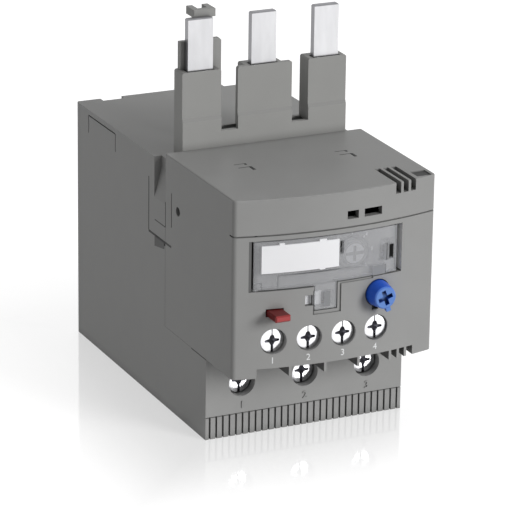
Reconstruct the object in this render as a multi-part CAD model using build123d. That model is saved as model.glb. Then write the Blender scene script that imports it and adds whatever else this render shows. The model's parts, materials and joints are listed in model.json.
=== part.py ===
from build123d import *
import os
from math import atan2, cos, degrees, pi, sin, sqrt

# Three-pole thermal overload relay with plug-in busbars, a trip mechanism and an auxiliary contact pair.
# All lengths are millimetres. While a piece is made, x runs left to right over the middle of the relay,
# y runs backwards from the front face of the foot, and z runs up from the underside.
# At the end everything moves so that the origin lies under the middle of the base.

# Body
BODY_WIDTH = 55.0
BASE_DEPTH = 84.5
REAR_TOP_Z = 65.2
FOOT_TOP_Z = 21.7
BLOCK_TOP_Z = 68.0
BLOCK_OVERHANG = 15.3
BLOCK_BULGE = 3.75
BLOCK_BACK_Y = 25.5
SIDE_WALL = 2.25
BLOCK_WALL = 1.8
BLOCK_TOP_WALL = 2.0
BASE_FLOOR = 2.5
BASE_ROOF = 2.5
FOOT_FRONT_WALL = 2.5
FOOT_ROOF = 1.5
PARTITION = 2.0
PARTITION_FRONT = 1.2
COVER_PLATE = 2.0
SEAM = 0.1
SEAT_GAP = 0.05
EDGE_ROUND = 0.6
FRONT_EDGE_ROUND = 1.3

# Foot grille
GRILLE_TOP_Z = 5.9
GRILLE_GROOVES = 30
GRILLE_EDGE = 1.15
GRILLE_GROOVE_WIDTH = 0.5
GRILLE_GROOVE_DEPTH = 0.6
GRILLE_LINE = 0.3

# Front block details
GROOVE_Z = 58.7
GROOVE_WIDTH = 0.4
GROOVE_DEPTH = 0.45
LUG_WIDTH = 6.0
SKIRT_LIFT = 2.45
BOTTOM_WALL = 1.5
ENTRY_RIB = 0.7
VENT_WIDTH = 1.5
VENT_PITCH = 2.25
VENT_COUNT = 3
VENT_FIRST_INSET = 11.6
VENT_TOP_BACK_Y = -6.0
VENT_FRONT_DROP = 2.8
POCKET_INSET = 3.2
POCKET_WIDTH = 4.1
POCKET_FRONT_Y = -15.3
POCKET_LENGTH = 4.0
POCKET_DEPTH = 1.6
UPPER_WINDOW_Z = 61.8
UPPER_WINDOW_HEIGHT = 2.1
UPPER_WINDOW_SPANS = ((1.4, 4.5), (6.15, 11.1))
SIDE_PIN_Y = 17.8
SIDE_PIN_Z = 55.0
SIDE_PIN_RADIUS = 1.2
SIDE_SLIT = 0.35
SIDE_SLIT_DEPTH = 0.5
FRONT_SLIT_Y = 21.8
FRONT_SLIT_ZS = (49.6, 58.6)
CROSS_SLIT_Z = 44.4
MIDDLE_TONGUE_Y = 36.1
MIDDLE_TONGUE_TOP_Z = 58.9
NOTCH_BACK_Y = 32.4
NOTCH_DROP = 1.1
REAR_TONGUE_FRONT = 26.4
REAR_TONGUE_BACK = 8.3
REAR_TONGUE_DROP = 1.5
REAR_TONGUE_HEIGHT = 4.8
CHANNEL_DEPTH = 2.0
CHANNEL_WIDTH = 7.0
CHANNEL_DROP = 2.9
CHANNEL_RAMP = 7.8
TOP_MARK_XS = (-12.3, 15.7)
TOP_MARK_Y = 7.75
TOP_MARK_LENGTH = 3.3
TOP_MARK_HOOK = 2.6
TOP_MARK_SPACING = 2.8
TOP_MARK_WIDTH = 0.5
TOP_MARK_DEPTH = 0.6

# Poles
BAR_WIDTH = 6.85
BAR_THICK = 2.0
BAR_FRONT_Y = 26.95
BAR_TOP_Z = 101.7
BAR_LEG_Z = 53.5
BAR_LEG_END_Y = 48.6
BAR_SLOT_GAP = 0.2
BAR_RELIEF = 0.1
BAR_RELIEF_RISE = 0.2
TOWER_TOP_Z = 88.2
TOWER_WIDTH = 10.7
TOWER_DEPTH = 5.4
TOWER_STEP_Z = 76.3
TOWER_STEP = 0.4
MIDDLE_PLATE_WIDTH = 15.1
MIDDLE_PLATE_THICK = 1.3
WEB_TOP_Z = 72.15
WEB_THICK = 1.2
WEB_DROP = 1.1
GUARD_TOP_Z = 95.5
GUARD_THICK = 1.3
GUARD_REACH_LEFT = 4.7
GUARD_REACH_RIGHT = 6.7
HOOK_WIDTH = 5.85
HOOK_CENTRE = 2.1
HOOK_STEM_WIDTH = 5.0
HOOK_TOP_Z = 103.25
HOOK_HEAD_HEIGHT = 2.05
HOOK_DEPTH = 5.0
HOOK_ARM = 1.6
HOOK_FRONT = 0.8

# Load side
MAIN_SCREW_Z = 14.0
MAIN_HOLE_RADIUS = 3.6
MAIN_HEAD_RADIUS = 3.3
MAIN_HEAD_HEIGHT = 2.4
MAIN_HEAD_FRONT_Y = 0.4
MAIN_SHANK_RADIUS = 2.4
MAIN_THREAD_GAP = 0.05
SCREW_DOME = 0.5
SCREW_SLOT_DEPTH = 1.2
LUG_OUTER_WIDTH = 11.4
LUG_FRONT_Y = 5.2
LUG_DEPTH = 12.6
LUG_WALL = 2.0
LUG_BOTTOM_Z = 9.2
LUG_HEIGHT = 8.4
LUG_GAP = 0.3
CABLE_WIDTH = 9.6
CABLE_FRONT_GAP = 2.6
STRAP_THICK = 2.0
STRAP_WIDTH = 7.0
STRAP_DROP = 8.6
CAVITY_WIDTH = 12.6

# Bimetals and the slide they push
STRIP_THICK = 0.8
STRIP_WIDTH = 6.0
STRIP_Y = 54.0
STRIP_TOP_Z = 50.4
HEATER_TURNS = 8
HEATER_WIRE = 0.8
HEATER_GAP = 0.3
HEATER_BOTTOM_Z = 28.5
HEATER_TOP_Z = 43.0
SLIDE_Z = 48.2
SLIDE_THICK = 1.4
SLIDE_WIDTH = 9.0
SLIDE_TRAVEL = 2.0
SLIDE_TIP_GAP = 0.35
SLIDE_RUN_GAP = 0.3
FINGER_WIDTH = 1.6
FINGER_INSET = 4.4
FINGER_FRONT_Y = 13.0

# Window, cover and label
WINDOW_LEFT_INSET = 3.75
WINDOW_RIGHT_X = 17.3
WINDOW_BOTTOM_Z = 44.35
WINDOW_TOP_Z = 57.4
WINDOW_DEPTH = 3.2
WINDOW_BACK_Y = -12.0
WINDOW_RIM = 1.4
TAB_LEFT_X = -7.2
TAB_RIGHT_X = 0.1
TAB_BOTTOM_Z = 37.1
TAB_DEPTH = 1.1
PAD_BACK_Y = -16.2
COVER_GAP = 0.15
COVER_THICK = 1.2
COVER_TAB_THICK = 0.8
COVER_EDGE_GAP = 0.35
COVER_RIGHT_X = 15.8
COVER_TAB_LAP = 1.2
COVER_LOWER_LIFT = 0.75
COVER_LAP_DEPTH = 0.35
COVER_LAP_END_X = 9.0
COVER_STEP_X = -16.5
COVER_STEP_Z = 48.2
COVER_STEP_WIDTH = 0.3
COVER_STEP_DEPTH = 0.2
COVER_FOOT_X = -20.6
COVER_FOOT_TOP_Z = 46.6
COVER_SQUARE_XS = (9.0, 12.8)
COVER_SQUARE_TOP_Z = 47.4
COVER_NOTCH_XS = (-0.3, 0.7)
COVER_NOTCH_ZS = (52.0, 55.4)
LATCH_SLOT_XS = (13.6, 14.9)
LATCH_SLOT_ZS = (48.6, 52.4)
LATCH_FRAME = 0.6
LATCH_FRAME_RISE = 0.1
CATCH_THICK = 0.8
CATCH_REACH = 1.5
HINGE_INSET = 5.65
HINGE_RADIUS = 0.75
HINGE_PEG_RADIUS = 0.5
HINGE_PEG_LENGTH = 1.1
HINGE_FIT = 0.05
LABEL_INSET = 1.25
LABEL_RIGHT_X = -0.6
LABEL_BOTTOM_Z = 48.9
LABEL_HEIGHT = 7.1
LABEL_THICK = 0.4
LABEL_GAP = 0.1
LABEL_NUBS = ((-16.2, -14.9), (-5.9, -4.0))
LABEL_LOWER_NUB = (-5.7, -4.3)
LABEL_NUB_HEIGHT = 0.5

# Setting dial and its bracket
DIAL_X = 4.5
DIAL_Z = 51.0
DIAL_RADIUS = 3.1
DIAL_HEIGHT = 1.6
DIAL_RING_RADIUS = 4.35
DIAL_RING_HEIGHT = 0.5
DIAL_SHAFT_RADIUS = 1.6
DIAL_TAIL_RADIUS = 1.1
DIAL_FIT = 0.06
DIAL_TURN = 270.0
CAM_BASE_RADIUS = 3.4
CAM_LIFT = 0.8
CAM_THICK = 2.0
BRACKET_THICK = 1.4
BRACKET_GAP = 0.25
BRACKET_BAR_HEIGHT = 7.0
BRACKET_EAR_WIDTH = 1.4

# Trip lever
PIVOT_INSET = 7.5
PIVOT_Z = 33.0
PIVOT_RADIUS = 1.0
PIVOT_FIT = 0.05
HUB_RADIUS = 2.4
HUB_FRONT_Y = -7.2
HUB_BACK_Y = 20.0
LEVER_TIP_X = 6.3
LEVER_TIP_GAP = 0.25
LEVER_ARM_THICK = 2.0
LEVER_ARM_WIDTH = 3.0
COMPENSATOR_THICK = 1.0
COMPENSATOR_WIDTH = 5.0
COMPENSATOR_GAP = 0.3

# Contacts
AUX_SCREW_XS = (-17.6, -8.4, 0.85, 10.05)
AUX_SCREW_Z = 31.15
AUX_HOLE_RADIUS = 3.65
AUX_HEAD_RADIUS = 3.15
AUX_HEAD_HEIGHT = 2.9
AUX_HEAD_RISE = 0.3
AUX_SHANK_RADIUS = 1.6
AUX_ENTRY_WIDTH = 6.6
AUX_ENTRY_DEPTH = 4.6
CLAMP_THICK = 1.0
CLAMP_SIZE = 6.4
TERMINAL_FRONT_Y = -10.6
TERMINAL_THICK = 0.9
TERMINAL_WIDTH = 6.4
CONTACT_STRIP_WIDTH = 4.4
NC_STRIP_Z = 35.6
NO_STRIP_Z = 28.0
CONTACT_Y = -0.25
RIVET_RADIUS = 1.2
RIVET_HEIGHT = 0.6
BRIDGE_THICK = 0.6
BRIDGE_WIDTH = 3.0
CONTACT_TOUCH = 0.05
CONTACT_SPARE = 0.05
BEAM_BOTTOM_Z = 39.1
BEAM_HEIGHT = 2.4
BEAM_FRONT_Y = 2.6
BEAM_DEPTH = 3.0
GUIDE_X = -3.0
GUIDE_WIDTH = 2.0
BRIDGE_SPRING_RADIUS = 0.8
BRIDGE_SPRING_WIRE = 0.3
BRIDGE_SPRING_TURNS = 2.5
BRIDGE_SPRING_ROOM = 2.0
BRIDGE_END_GAP = 0.05

# Inner frame
FRAME_GAP = 0.2
FRAME_SHELF = 1.3
FRAME_WALL = 1.4
BULKHEAD_Y = 6.0
BULKHEAD_THICK = 1.6
FRAME_BACK_THICK = 1.6

# Push buttons, test slider and trip flag
RESET_X = 10.45
RESET_Z = 40.35
RESET_BACK_RADIUS = 3.35
RESET_FACE_RADIUS = 2.9
RESET_PROTRUSION = 4.4
RESET_TRAVEL = 2.5
RESET_STEM_RADIUS = 1.3
RESET_NOTCH_WIDTH = 1.8
RESET_NOTCH_OFFSET = -0.7
RESET_NOTCH_DROP = 4.3
RESET_NOTCH_DEPTH = 1.5
STOP_X = -17.2
STOP_Z = 38.7
STOP_WIDTH = 4.1
STOP_HEIGHT = 1.7
STOP_PROTRUSION = 5.0
STOP_TRAVEL = 2.5
STOP_STEM_RADIUS = 1.0
BUTTON_GAP = 0.2
COLLAR_THICK = 1.2
COLLAR_LIP = 0.9
SEAT_FRONT_Y = -2.5
SEAT_WALL = 0.9
SPRING_WIRE = 0.45
SPRING_TURNS = 5
SPRING_END_GAP = 0.1
WIRE_SIDES = 6
SLIDER_LEFT_X = -6.6
SLIDER_WIDTH = 2.0
SLIDER_TRAVEL = 2.3
SLIDER_Z = 41.0
SLIDER_HEIGHT = 3.6
SLIDER_SLOT_GAP = 0.1
SLIDER_FLANGE_LIP = 0.8
SLIDER_FLANGE_THICK = 1.0
FLAG_WINDOW_X = -8.35
FLAG_WINDOW_WIDTH = 2.3
FLAG_WINDOW_HEIGHT = 2.8
FLAG_TRAVEL = 2.5
FLAG_THICK = 0.7
FLAG_WALL = 0.9
FLAG_LAP = 0.05
FLAG_HEIGHT_LAP = 0.3
FLAG_RUN_GAP = 0.1
FLAG_LEG_WIDTH = 1.0
FLAG_LEG_REACH = 3.0

# Sizes that follow from the ones above
HALF = BODY_WIDTH / 2
POLE_PITCH = (BODY_WIDTH - 2 * SIDE_WALL + PARTITION) / 3
GRILLE_PITCH = (BODY_WIDTH - 2 * GRILLE_EDGE) / (GRILLE_GROOVES - 1)
VENT_FIRST_X = HALF - VENT_FIRST_INSET
POCKET_X = HALF - POCKET_INSET
FINGER_RIGHT_X = HALF - FINGER_INSET
WINDOW_LEFT_X = WINDOW_LEFT_INSET - HALF
HINGE_X = HINGE_INSET - HALF
LABEL_LEFT_X = HINGE_X + LABEL_INSET
PIVOT_X = HALF - PIVOT_INSET
HOOK_BOTTOM_Z = HOOK_TOP_Z - HOOK_HEAD_HEIGHT
RIM_RADIUS = (HALF ** 2 + BLOCK_BULGE ** 2) / (2 * BLOCK_BULGE)
RIM_CENTRE_Y = RIM_RADIUS - BLOCK_OVERHANG - BLOCK_BULGE
BLOCK_BOTTOM_Z = FOOT_TOP_Z + SEAT_GAP
SKIRT_Z = BLOCK_BOTTOM_Z + SKIRT_LIFT
BLOCK_FLOOR_Z = SKIRT_Z + BOTTOM_WALL
BLOCK_ROOF_Z = BLOCK_TOP_Z - BLOCK_TOP_WALL
POLE_XS = (-POLE_PITCH, 0.0, POLE_PITCH)
INNER_HALF = HALF - SIDE_WALL
BASE_WALL_Y = BLOCK_BACK_Y + SEAM
CHAMBER_FRONT_Y = BASE_WALL_Y + PARTITION_FRONT
CHAMBER_BACK_Y = BASE_DEPTH - COVER_PLATE - SEAM / 2
BAR_BACK_Y = BAR_FRONT_Y + BAR_THICK
TOWER_FRONT_Y = BLOCK_BACK_Y + SEAM
TOWER_BACK_Y = TOWER_FRONT_Y + TOWER_DEPTH
GUARD_Y = BAR_BACK_Y + BAR_SLOT_GAP
STRAP_Z = LUG_BOTTOM_Z + LUG_HEIGHT + LUG_GAP
STRAP_TOP_Z = STRAP_Z + STRAP_THICK
CLAMP_FRONT_Y = LUG_FRONT_Y + LUG_WALL
CLAMP_BACK_Y = LUG_FRONT_Y + LUG_DEPTH - LUG_WALL
STRIP_FOOT_Z = STRAP_TOP_Z + 0.3
SLIDE_CENTRE_Z = SLIDE_Z + SLIDE_THICK / 2
STRIP_ARM = SLIDE_CENTRE_Z - STRIP_FOOT_Z
FINGER_LEFT_X = FINGER_RIGHT_X - FINGER_WIDTH
COMPENSATOR_X = FINGER_LEFT_X - COMPENSATOR_GAP
LEVER_UP_ARM = SLIDE_CENTRE_Z - PIVOT_Z
LEVER_SIDE_ARM = PIVOT_X - LEVER_TIP_X
CARRIAGE_TRAVEL = SLIDE_TRAVEL * LEVER_SIDE_ARM / LEVER_UP_ARM
NC_BRIDGE_TOP_Z = NC_STRIP_Z - 2 * RIVET_HEIGHT - CONTACT_TOUCH
NO_BRIDGE_Z = NO_STRIP_Z + TERMINAL_THICK + 2 * RIVET_HEIGHT + CARRIAGE_TRAVEL + CONTACT_SPARE
NC_CENTRE_X = (AUX_SCREW_XS[0] + AUX_SCREW_XS[1]) / 2
NO_CENTRE_X = (AUX_SCREW_XS[2] + AUX_SCREW_XS[3]) / 2
BEAM_TOP_Z = BEAM_BOTTOM_Z + BEAM_HEIGHT
BEAM_BACK_Y = BEAM_FRONT_Y + BEAM_DEPTH
FRAME_FLOOR_Z = BLOCK_FLOOR_Z + FRAME_GAP
FRAME_TOP_Z = BLOCK_ROOF_Z - FRAME_GAP
FRAME_HALF = HALF - BLOCK_WALL - FRAME_GAP
FRAME_BACK_Y = BLOCK_BACK_Y - 0.3
SHELF_TOP_Z = FRAME_FLOOR_Z + FRAME_SHELF
CAM_FRONT_Y = WINDOW_BACK_Y + 0.3
CAM_BACK_Y = CAM_FRONT_Y + CAM_THICK
BRACKET_FRONT_Y = CAM_BACK_Y + BRACKET_GAP
BRACKET_BACK_Y = BRACKET_FRONT_Y + BRACKET_THICK
BEARING_FRONT_Y = BRACKET_BACK_Y + BRACKET_GAP
SLIDER_FLANGE_Y = PAD_BACK_Y + SLIDER_SLOT_GAP
RESET_COLLAR_Y = WINDOW_BACK_Y + 0.3
FLAG_RIGHT_X = FLAG_WINDOW_X + FLAG_WINDOW_WIDTH / 2 + FLAG_LAP
FLAG_LEFT_X = FLAG_WINDOW_X - FLAG_WINDOW_WIDTH / 2 - 2 * FLAG_LAP


def block(xs, ys, zs):
    """A straight-sided block between two x, two y and two z values."""
    size = [high - low for low, high in (xs, ys, zs)]
    centre = [(low + high) / 2 for low, high in (xs, ys, zs)]
    return Pos(*centre) * Box(*size)


def around(centre, width):
    return centre - width / 2, centre + width / 2


def rod_y(x, z, radius, y0, y1):
    """A round rod that runs backwards from y0 to y1."""
    return Pos(x, y0, z) * Rot(-90, 0, 0) * Cylinder(radius, y1 - y0, align=(Align.CENTER, Align.CENTER, Align.MIN))


def rod_z(x, y, radius, z0, z1):
    return Pos(x, y, z0) * Cylinder(radius, z1 - z0, align=(Align.CENTER, Align.CENTER, Align.MIN))


def front_y(x, inset=0.0):
    """The y of the curved front face at x, or of a face that lies inset behind it."""
    return RIM_CENTRE_Y - sqrt((RIM_RADIUS - inset) ** 2 - x * x)


def flag_y():
    """The y of the flag's front, just behind the wall that its window goes through."""
    return front_y(FLAG_LEFT_X - FLAG_TRAVEL) + FLAG_WALL + FLAG_RUN_GAP


def curved_plan(half_width, back_y, inset):
    """The plan of the front block: straight sides and back, and an arc as its front."""
    corner_y = front_y(half_width, inset)
    crown_y = front_y(0, inset)
    outline = [
        ThreePointArc((-half_width, corner_y), (0, crown_y), (half_width, corner_y)),
        Line((half_width, corner_y), (half_width, back_y)),
        Line((half_width, back_y), (-half_width, back_y)),
        Line((-half_width, back_y), (-half_width, corner_y)),
    ]
    return make_face(outline)


def curved_block(half_width, back_y, inset, z0, z1):
    return Pos(0, 0, z0) * extrude(curved_plan(half_width, back_y, inset), z1 - z0)


def curved_plate(xs, zs, outer_inset, inner_inset):
    """A plate that follows the front curve between two insets."""
    shell = curved_block(HALF, 0, outer_inset, *zs) - curved_block(HALF, 0.1, inner_inset, *zs)
    return shell & block(xs, (front_y(0) - 1, 0), zs)


def side_profile(points, x0, x1):
    """A solid with a side profile of (y, z) points, between two x values."""
    face = make_face(Polyline(*[(0, y, z) for y, z in points], close=True))
    return Pos(x0, 0, 0) * extrude(face, amount=x1 - x0, dir=(1, 0, 0))


def front_profile(points, y0, y1):
    """A solid with a front outline of (x, z) points, between two y values."""
    face = make_face(Polyline(*[(x, 0, z) for x, z in points], close=True))
    return Pos(0, y0, 0) * extrude(face, amount=y1 - y0, dir=(0, 1, 0))


def coil_spring(x, z, y0, y1, radius, wire, turns):
    """A coil spring on an axis that runs backwards."""
    height = y1 - y0 - wire
    path = Helix(pitch=height / turns, height=height, radius=radius)
    section = Plane(origin=path @ 0, z_dir=path % 0) * RegularPolygon(wire / 2, WIRE_SIDES)
    return Pos(x, y0 + wire / 2, z) * Rot(-90, 0, 0) * sweep(section, path=path, is_frenet=True)


def terminal_screw(x, z, front, head_radius, head_height, shank_radius, tip):
    """A screw with a domed head and a combined slot and cross, its axis running backwards."""
    profile = make_face([
        Line((0, 0), (head_radius * 0.8, 0)),
        ThreePointArc((head_radius * 0.8, 0), (head_radius * 0.94, SCREW_DOME * 0.4), (head_radius, SCREW_DOME)),
        Line((head_radius, SCREW_DOME), (head_radius, head_height)),
        Line((head_radius, head_height), (shank_radius, head_height)),
        Line((shank_radius, head_height), (shank_radius, tip - front - 0.4)),
        Line((shank_radius, tip - front - 0.4), (shank_radius - 0.4, tip - front)),
        Line((shank_radius - 0.4, tip - front), (0, tip - front)),
        Line((0, tip - front), (0, 0)),
    ])
    screw = revolve(profile, axis=Axis.Y)
    slot = block(around(0, head_radius * 0.24), around(0, SCREW_SLOT_DEPTH * 2), around(0, head_radius * 2.2))
    cross = block(around(0, head_radius * 1.1), around(0, SCREW_SLOT_DEPTH * 2), around(0, head_radius * 0.26))
    return Pos(x, front, z) * (screw - slot - cross)


def base_housing():
    outline = [(0, 0), (CHAMBER_BACK_Y, 0), (CHAMBER_BACK_Y, REAR_TOP_Z), (BASE_WALL_Y, REAR_TOP_Z),
               (BASE_WALL_Y, FOOT_TOP_Z), (0, FOOT_TOP_Z)]
    body = side_profile(outline, -HALF, HALF)
    body = fillet(body.edges().filter_by(Axis.X).group_by(Axis.Z)[-1].sort_by(Axis.Y)[0:1], EDGE_ROUND / 2)
    chamber_width = POLE_PITCH - PARTITION
    channel_back_y = BASE_WALL_Y + CHANNEL_WIDTH
    for x in POLE_XS:
        low = max(x - chamber_width / 2, -INNER_HALF)
        high = min(x + chamber_width / 2, INNER_HALF)
        body -= block((low, high), (channel_back_y + 1.2, CHAMBER_BACK_Y + 1), (BASE_FLOOR, REAR_TOP_Z - BASE_ROOF))
        neck = around(x, CAVITY_WIDTH)
        body -= block(neck, (CHAMBER_FRONT_Y, channel_back_y + 1.3), (BASE_FLOOR, REAR_TOP_Z - BASE_ROOF))
        body -= block(neck, (FOOT_FRONT_WALL, CHAMBER_FRONT_Y + 0.1), (BASE_FLOOR, FOOT_TOP_Z - FOOT_ROOF))
        body -= block(around(x, CABLE_WIDTH), (CLAMP_FRONT_Y + 0.2, CLAMP_BACK_Y - STRAP_THICK - 0.2), (-1, BASE_FLOOR + 1))
        body -= rod_y(x, MAIN_SCREW_Z, MAIN_HOLE_RADIUS, -1, FOOT_FRONT_WALL + 0.1)
        slot = around(x, BAR_WIDTH + 2 * BAR_SLOT_GAP)
        body -= block(slot, (BAR_FRONT_Y - BAR_SLOT_GAP, BAR_BACK_Y + BAR_SLOT_GAP), (REAR_TOP_Z - BASE_ROOF - 1, REAR_TOP_Z + 1))
    # the slide runs through both partitions, and its finger through the front wall
    slide_gap = (SLIDE_Z - SLIDE_RUN_GAP, SLIDE_Z + SLIDE_THICK + SLIDE_RUN_GAP)
    slide_half = SLIDE_WIDTH / 2 + SLIDE_RUN_GAP
    body -= block((-POLE_PITCH, POLE_PITCH), (STRIP_Y - slide_half, STRIP_Y + slide_half), slide_gap)
    finger_slot = (FINGER_LEFT_X - SLIDE_TRAVEL - SLIDE_RUN_GAP, FINGER_RIGHT_X + SLIDE_RUN_GAP)
    body -= block(finger_slot, (BASE_WALL_Y - 1, CHAMBER_FRONT_Y + 1), slide_gap)
    # shallow grooves of the foot grille
    first = -GRILLE_PITCH * (GRILLE_GROOVES - 1) / 2
    for i in range(GRILLE_GROOVES):
        body -= block(around(first + i * GRILLE_PITCH, GRILLE_GROOVE_WIDTH), (-1, GRILLE_GROOVE_DEPTH), (-1, GRILLE_TOP_Z))
    body -= block((-HALF - 1, HALF + 1), (-1, GRILLE_LINE), around(GRILLE_TOP_Z, GRILLE_LINE))
    for side in (-1, 1):
        body -= side_channel(side)
        body -= side_marks(side)
    return body


def side_channel(side):
    """The channel behind the front block, upright at first and then ramped out to the side wall."""
    ramp_top_z = REAR_TOP_Z - CHANNEL_DROP
    low_z = ramp_top_z - CHANNEL_RAMP * (1 + 1 / CHANNEL_DEPTH)
    inner_x = HALF - CHANNEL_DEPTH
    outline = [(HALF + 1, low_z), (inner_x, ramp_top_z), (inner_x, REAR_TOP_Z + 1), (HALF + 1, REAR_TOP_Z + 1)]
    return front_profile([(side * x, z) for x, z in outline], BASE_WALL_Y - 1, BASE_WALL_Y + CHANNEL_WIDTH)


def side_marks(side):
    """The slits of the rear snap tongue and of the middle one, cut shallow into the side."""
    wall = (side * (HALF - SIDE_SLIT_DEPTH), side * (HALF + 1))
    xs = (min(wall), max(wall))
    top_z = REAR_TOP_Z - REAR_TONGUE_DROP
    ys = (BASE_DEPTH - REAR_TONGUE_FRONT, BASE_DEPTH - REAR_TONGUE_BACK)
    marks = block(xs, ys, around(top_z, SIDE_SLIT))
    for y in ys:
        marks += block(xs, around(y, SIDE_SLIT), (top_z - REAR_TONGUE_HEIGHT, top_z))
    marks += block(xs, around(MIDDLE_TONGUE_Y, SIDE_SLIT), (CROSS_SLIT_Z, MIDDLE_TONGUE_TOP_Z))
    marks += block(xs, (BASE_WALL_Y - 1, MIDDLE_TONGUE_Y), around(CROSS_SLIT_Z, SIDE_SLIT * 1.4))
    marks += block(xs, (BASE_WALL_Y - 1, NOTCH_BACK_Y), (CROSS_SLIT_Z - NOTCH_DROP, CROSS_SLIT_Z))
    return marks


def rear_cover():
    plate = block((-HALF, HALF), (BASE_DEPTH - COVER_PLATE, BASE_DEPTH), (0, REAR_TOP_Z))
    plate = fillet(plate.edges().filter_by(Axis.Z).group_by(Axis.Y)[-1], EDGE_ROUND)
    notch_width = 6.1
    notch_x = 17.65
    notch_drop = 4.0
    for side in (-1, 1):
        plate -= block(around(side * notch_x, notch_width), (BASE_DEPTH - COVER_PLATE - 1, BASE_DEPTH + 1),
                       (REAR_TOP_Z - notch_drop, REAR_TOP_Z + 1))
    rim_gap = 0.2
    rim_depth = 1.6
    for x in POLE_XS:
        width = POLE_PITCH - PARTITION - 2 * rim_gap
        low = max(x - width / 2, rim_gap - INNER_HALF)
        high = min(x + width / 2, INNER_HALF - rim_gap)
        heights = (BASE_FLOOR + rim_gap, REAR_TOP_Z - BASE_ROOF - notch_drop)
        ys = (BASE_DEPTH - COVER_PLATE - rim_depth, BASE_DEPTH - COVER_PLATE)
        rim = block((low, high), ys, heights)
        rim -= block((low + 1.2, high - 1.2), (ys[0] - 1, ys[1]), (heights[0] + 1.2, heights[1] - 1.2))
        plate += rim
    return plate


def terminal_shroud():
    """The moulding that stands on the base and wraps the foot of each busbar."""
    bottom = REAR_TOP_Z + SEAT_GAP
    outer = POLE_PITCH + TOWER_WIDTH / 2
    inner = POLE_PITCH - TOWER_WIDTH / 2
    middle = TOWER_WIDTH / 2
    outline = [(-outer, bottom), (outer, bottom), (outer, TOWER_TOP_Z), (inner, TOWER_TOP_Z), (inner, WEB_TOP_Z),
               (middle, WEB_TOP_Z), (middle, TOWER_TOP_Z), (-middle, TOWER_TOP_Z), (-middle, WEB_TOP_Z),
               (-inner, WEB_TOP_Z), (-inner, TOWER_TOP_Z), (-outer, TOWER_TOP_Z)]
    body = front_profile(outline, TOWER_FRONT_Y, TOWER_BACK_Y)
    plate_half = MIDDLE_PLATE_WIDTH / 2
    body += block((-plate_half, plate_half), (TOWER_FRONT_Y, TOWER_FRONT_Y + TOWER_STEP + MIDDLE_PLATE_THICK),
                  (bottom, TOWER_TOP_Z))
    # the upper part of each front face stands back a little, over a short slope
    slope = 0.9
    step = [(TOWER_FRONT_Y - 1, TOWER_STEP_Z - slope), (TOWER_FRONT_Y, TOWER_STEP_Z - slope),
            (TOWER_FRONT_Y + TOWER_STEP, TOWER_STEP_Z), (TOWER_FRONT_Y + TOWER_STEP, TOWER_TOP_Z + 1),
            (TOWER_FRONT_Y - 1, TOWER_TOP_Z + 1)]
    body -= side_profile(step, -HALF, HALF)
    # between the towers the web is a thin front wall with a trough and a lower back wall
    for side in (-1, 1):
        gap = (middle, inner) if side > 0 else (-inner, -middle)
        body -= block(gap, (TOWER_FRONT_Y + WEB_THICK, TOWER_BACK_Y - WEB_THICK), (bottom + 1.2, WEB_TOP_Z + 1))
        body -= block(gap, (TOWER_BACK_Y - WEB_THICK - 0.1, TOWER_BACK_Y + 1), (WEB_TOP_Z - WEB_DROP, WEB_TOP_Z + 1))
    body = chamfer(body.edges().filter_by(Axis.Y).group_by(Axis.Z)[-1], 0.35)
    left = -POLE_PITCH
    guard = [(left - GUARD_REACH_LEFT, TOWER_TOP_Z - 3), (left + GUARD_REACH_RIGHT, TOWER_TOP_Z - 3),
             (left + GUARD_REACH_RIGHT, GUARD_TOP_Z - 0.6), (left + GUARD_REACH_RIGHT - 0.6, GUARD_TOP_Z),
             (left - GUARD_REACH_LEFT, GUARD_TOP_Z)]
    body += front_profile(guard, GUARD_Y, GUARD_Y + GUARD_THICK)
    hook_x = left + HOOK_CENTRE
    stem_x = hook_x - (HOOK_WIDTH - HOOK_STEM_WIDTH) / 2
    body += block(around(stem_x, HOOK_STEM_WIDTH), (GUARD_Y, GUARD_Y + GUARD_THICK + 0.3), (TOWER_TOP_Z - 3, HOOK_TOP_Z))
    head = block(around(hook_x, HOOK_WIDTH), (GUARD_Y, GUARD_Y + HOOK_DEPTH), (HOOK_BOTTOM_Z, HOOK_TOP_Z))
    head -= block(around(hook_x, HOOK_WIDTH - 2 * HOOK_ARM), (GUARD_Y + HOOK_FRONT, GUARD_Y + HOOK_DEPTH + 1),
                  (HOOK_BOTTOM_Z - 1, HOOK_TOP_Z + 1))
    body += head
    for x in POLE_XS:
        body -= block(around(x, BAR_WIDTH + 2 * BAR_SLOT_GAP), (BAR_FRONT_Y - BAR_SLOT_GAP, GUARD_Y),
                      (bottom - 1, HOOK_TOP_Z + 1))
    return body


def busbar(x):
    """A plug-in busbar: an upright blade with a bent leg that reaches back to the heater."""
    bend = 1.0
    path = FilletPolyline((BAR_FRONT_Y + BAR_THICK / 2, BAR_TOP_Z), (BAR_FRONT_Y + BAR_THICK / 2, BAR_LEG_Z + BAR_THICK / 2),
                          (BAR_LEG_END_Y, BAR_LEG_Z + BAR_THICK / 2), radius=bend + BAR_THICK / 2)
    blade = extrude(Plane.YZ * trace(path, BAR_THICK), BAR_WIDTH / 2, both=True)
    blade = chamfer(blade.edges().group_by(Axis.Z)[-1], 0.3)
    # the part inside the tower stands back a little, so the free part has a contact face of its own
    relief_top_z = TOWER_TOP_Z + BAR_RELIEF_RISE
    blade -= block(around(0, BAR_WIDTH + 1), (BAR_FRONT_Y - 1, BAR_FRONT_Y + BAR_RELIEF), (BAR_LEG_Z - 1, relief_top_z))
    return Pos(x, 0, 0) * blade


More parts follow.
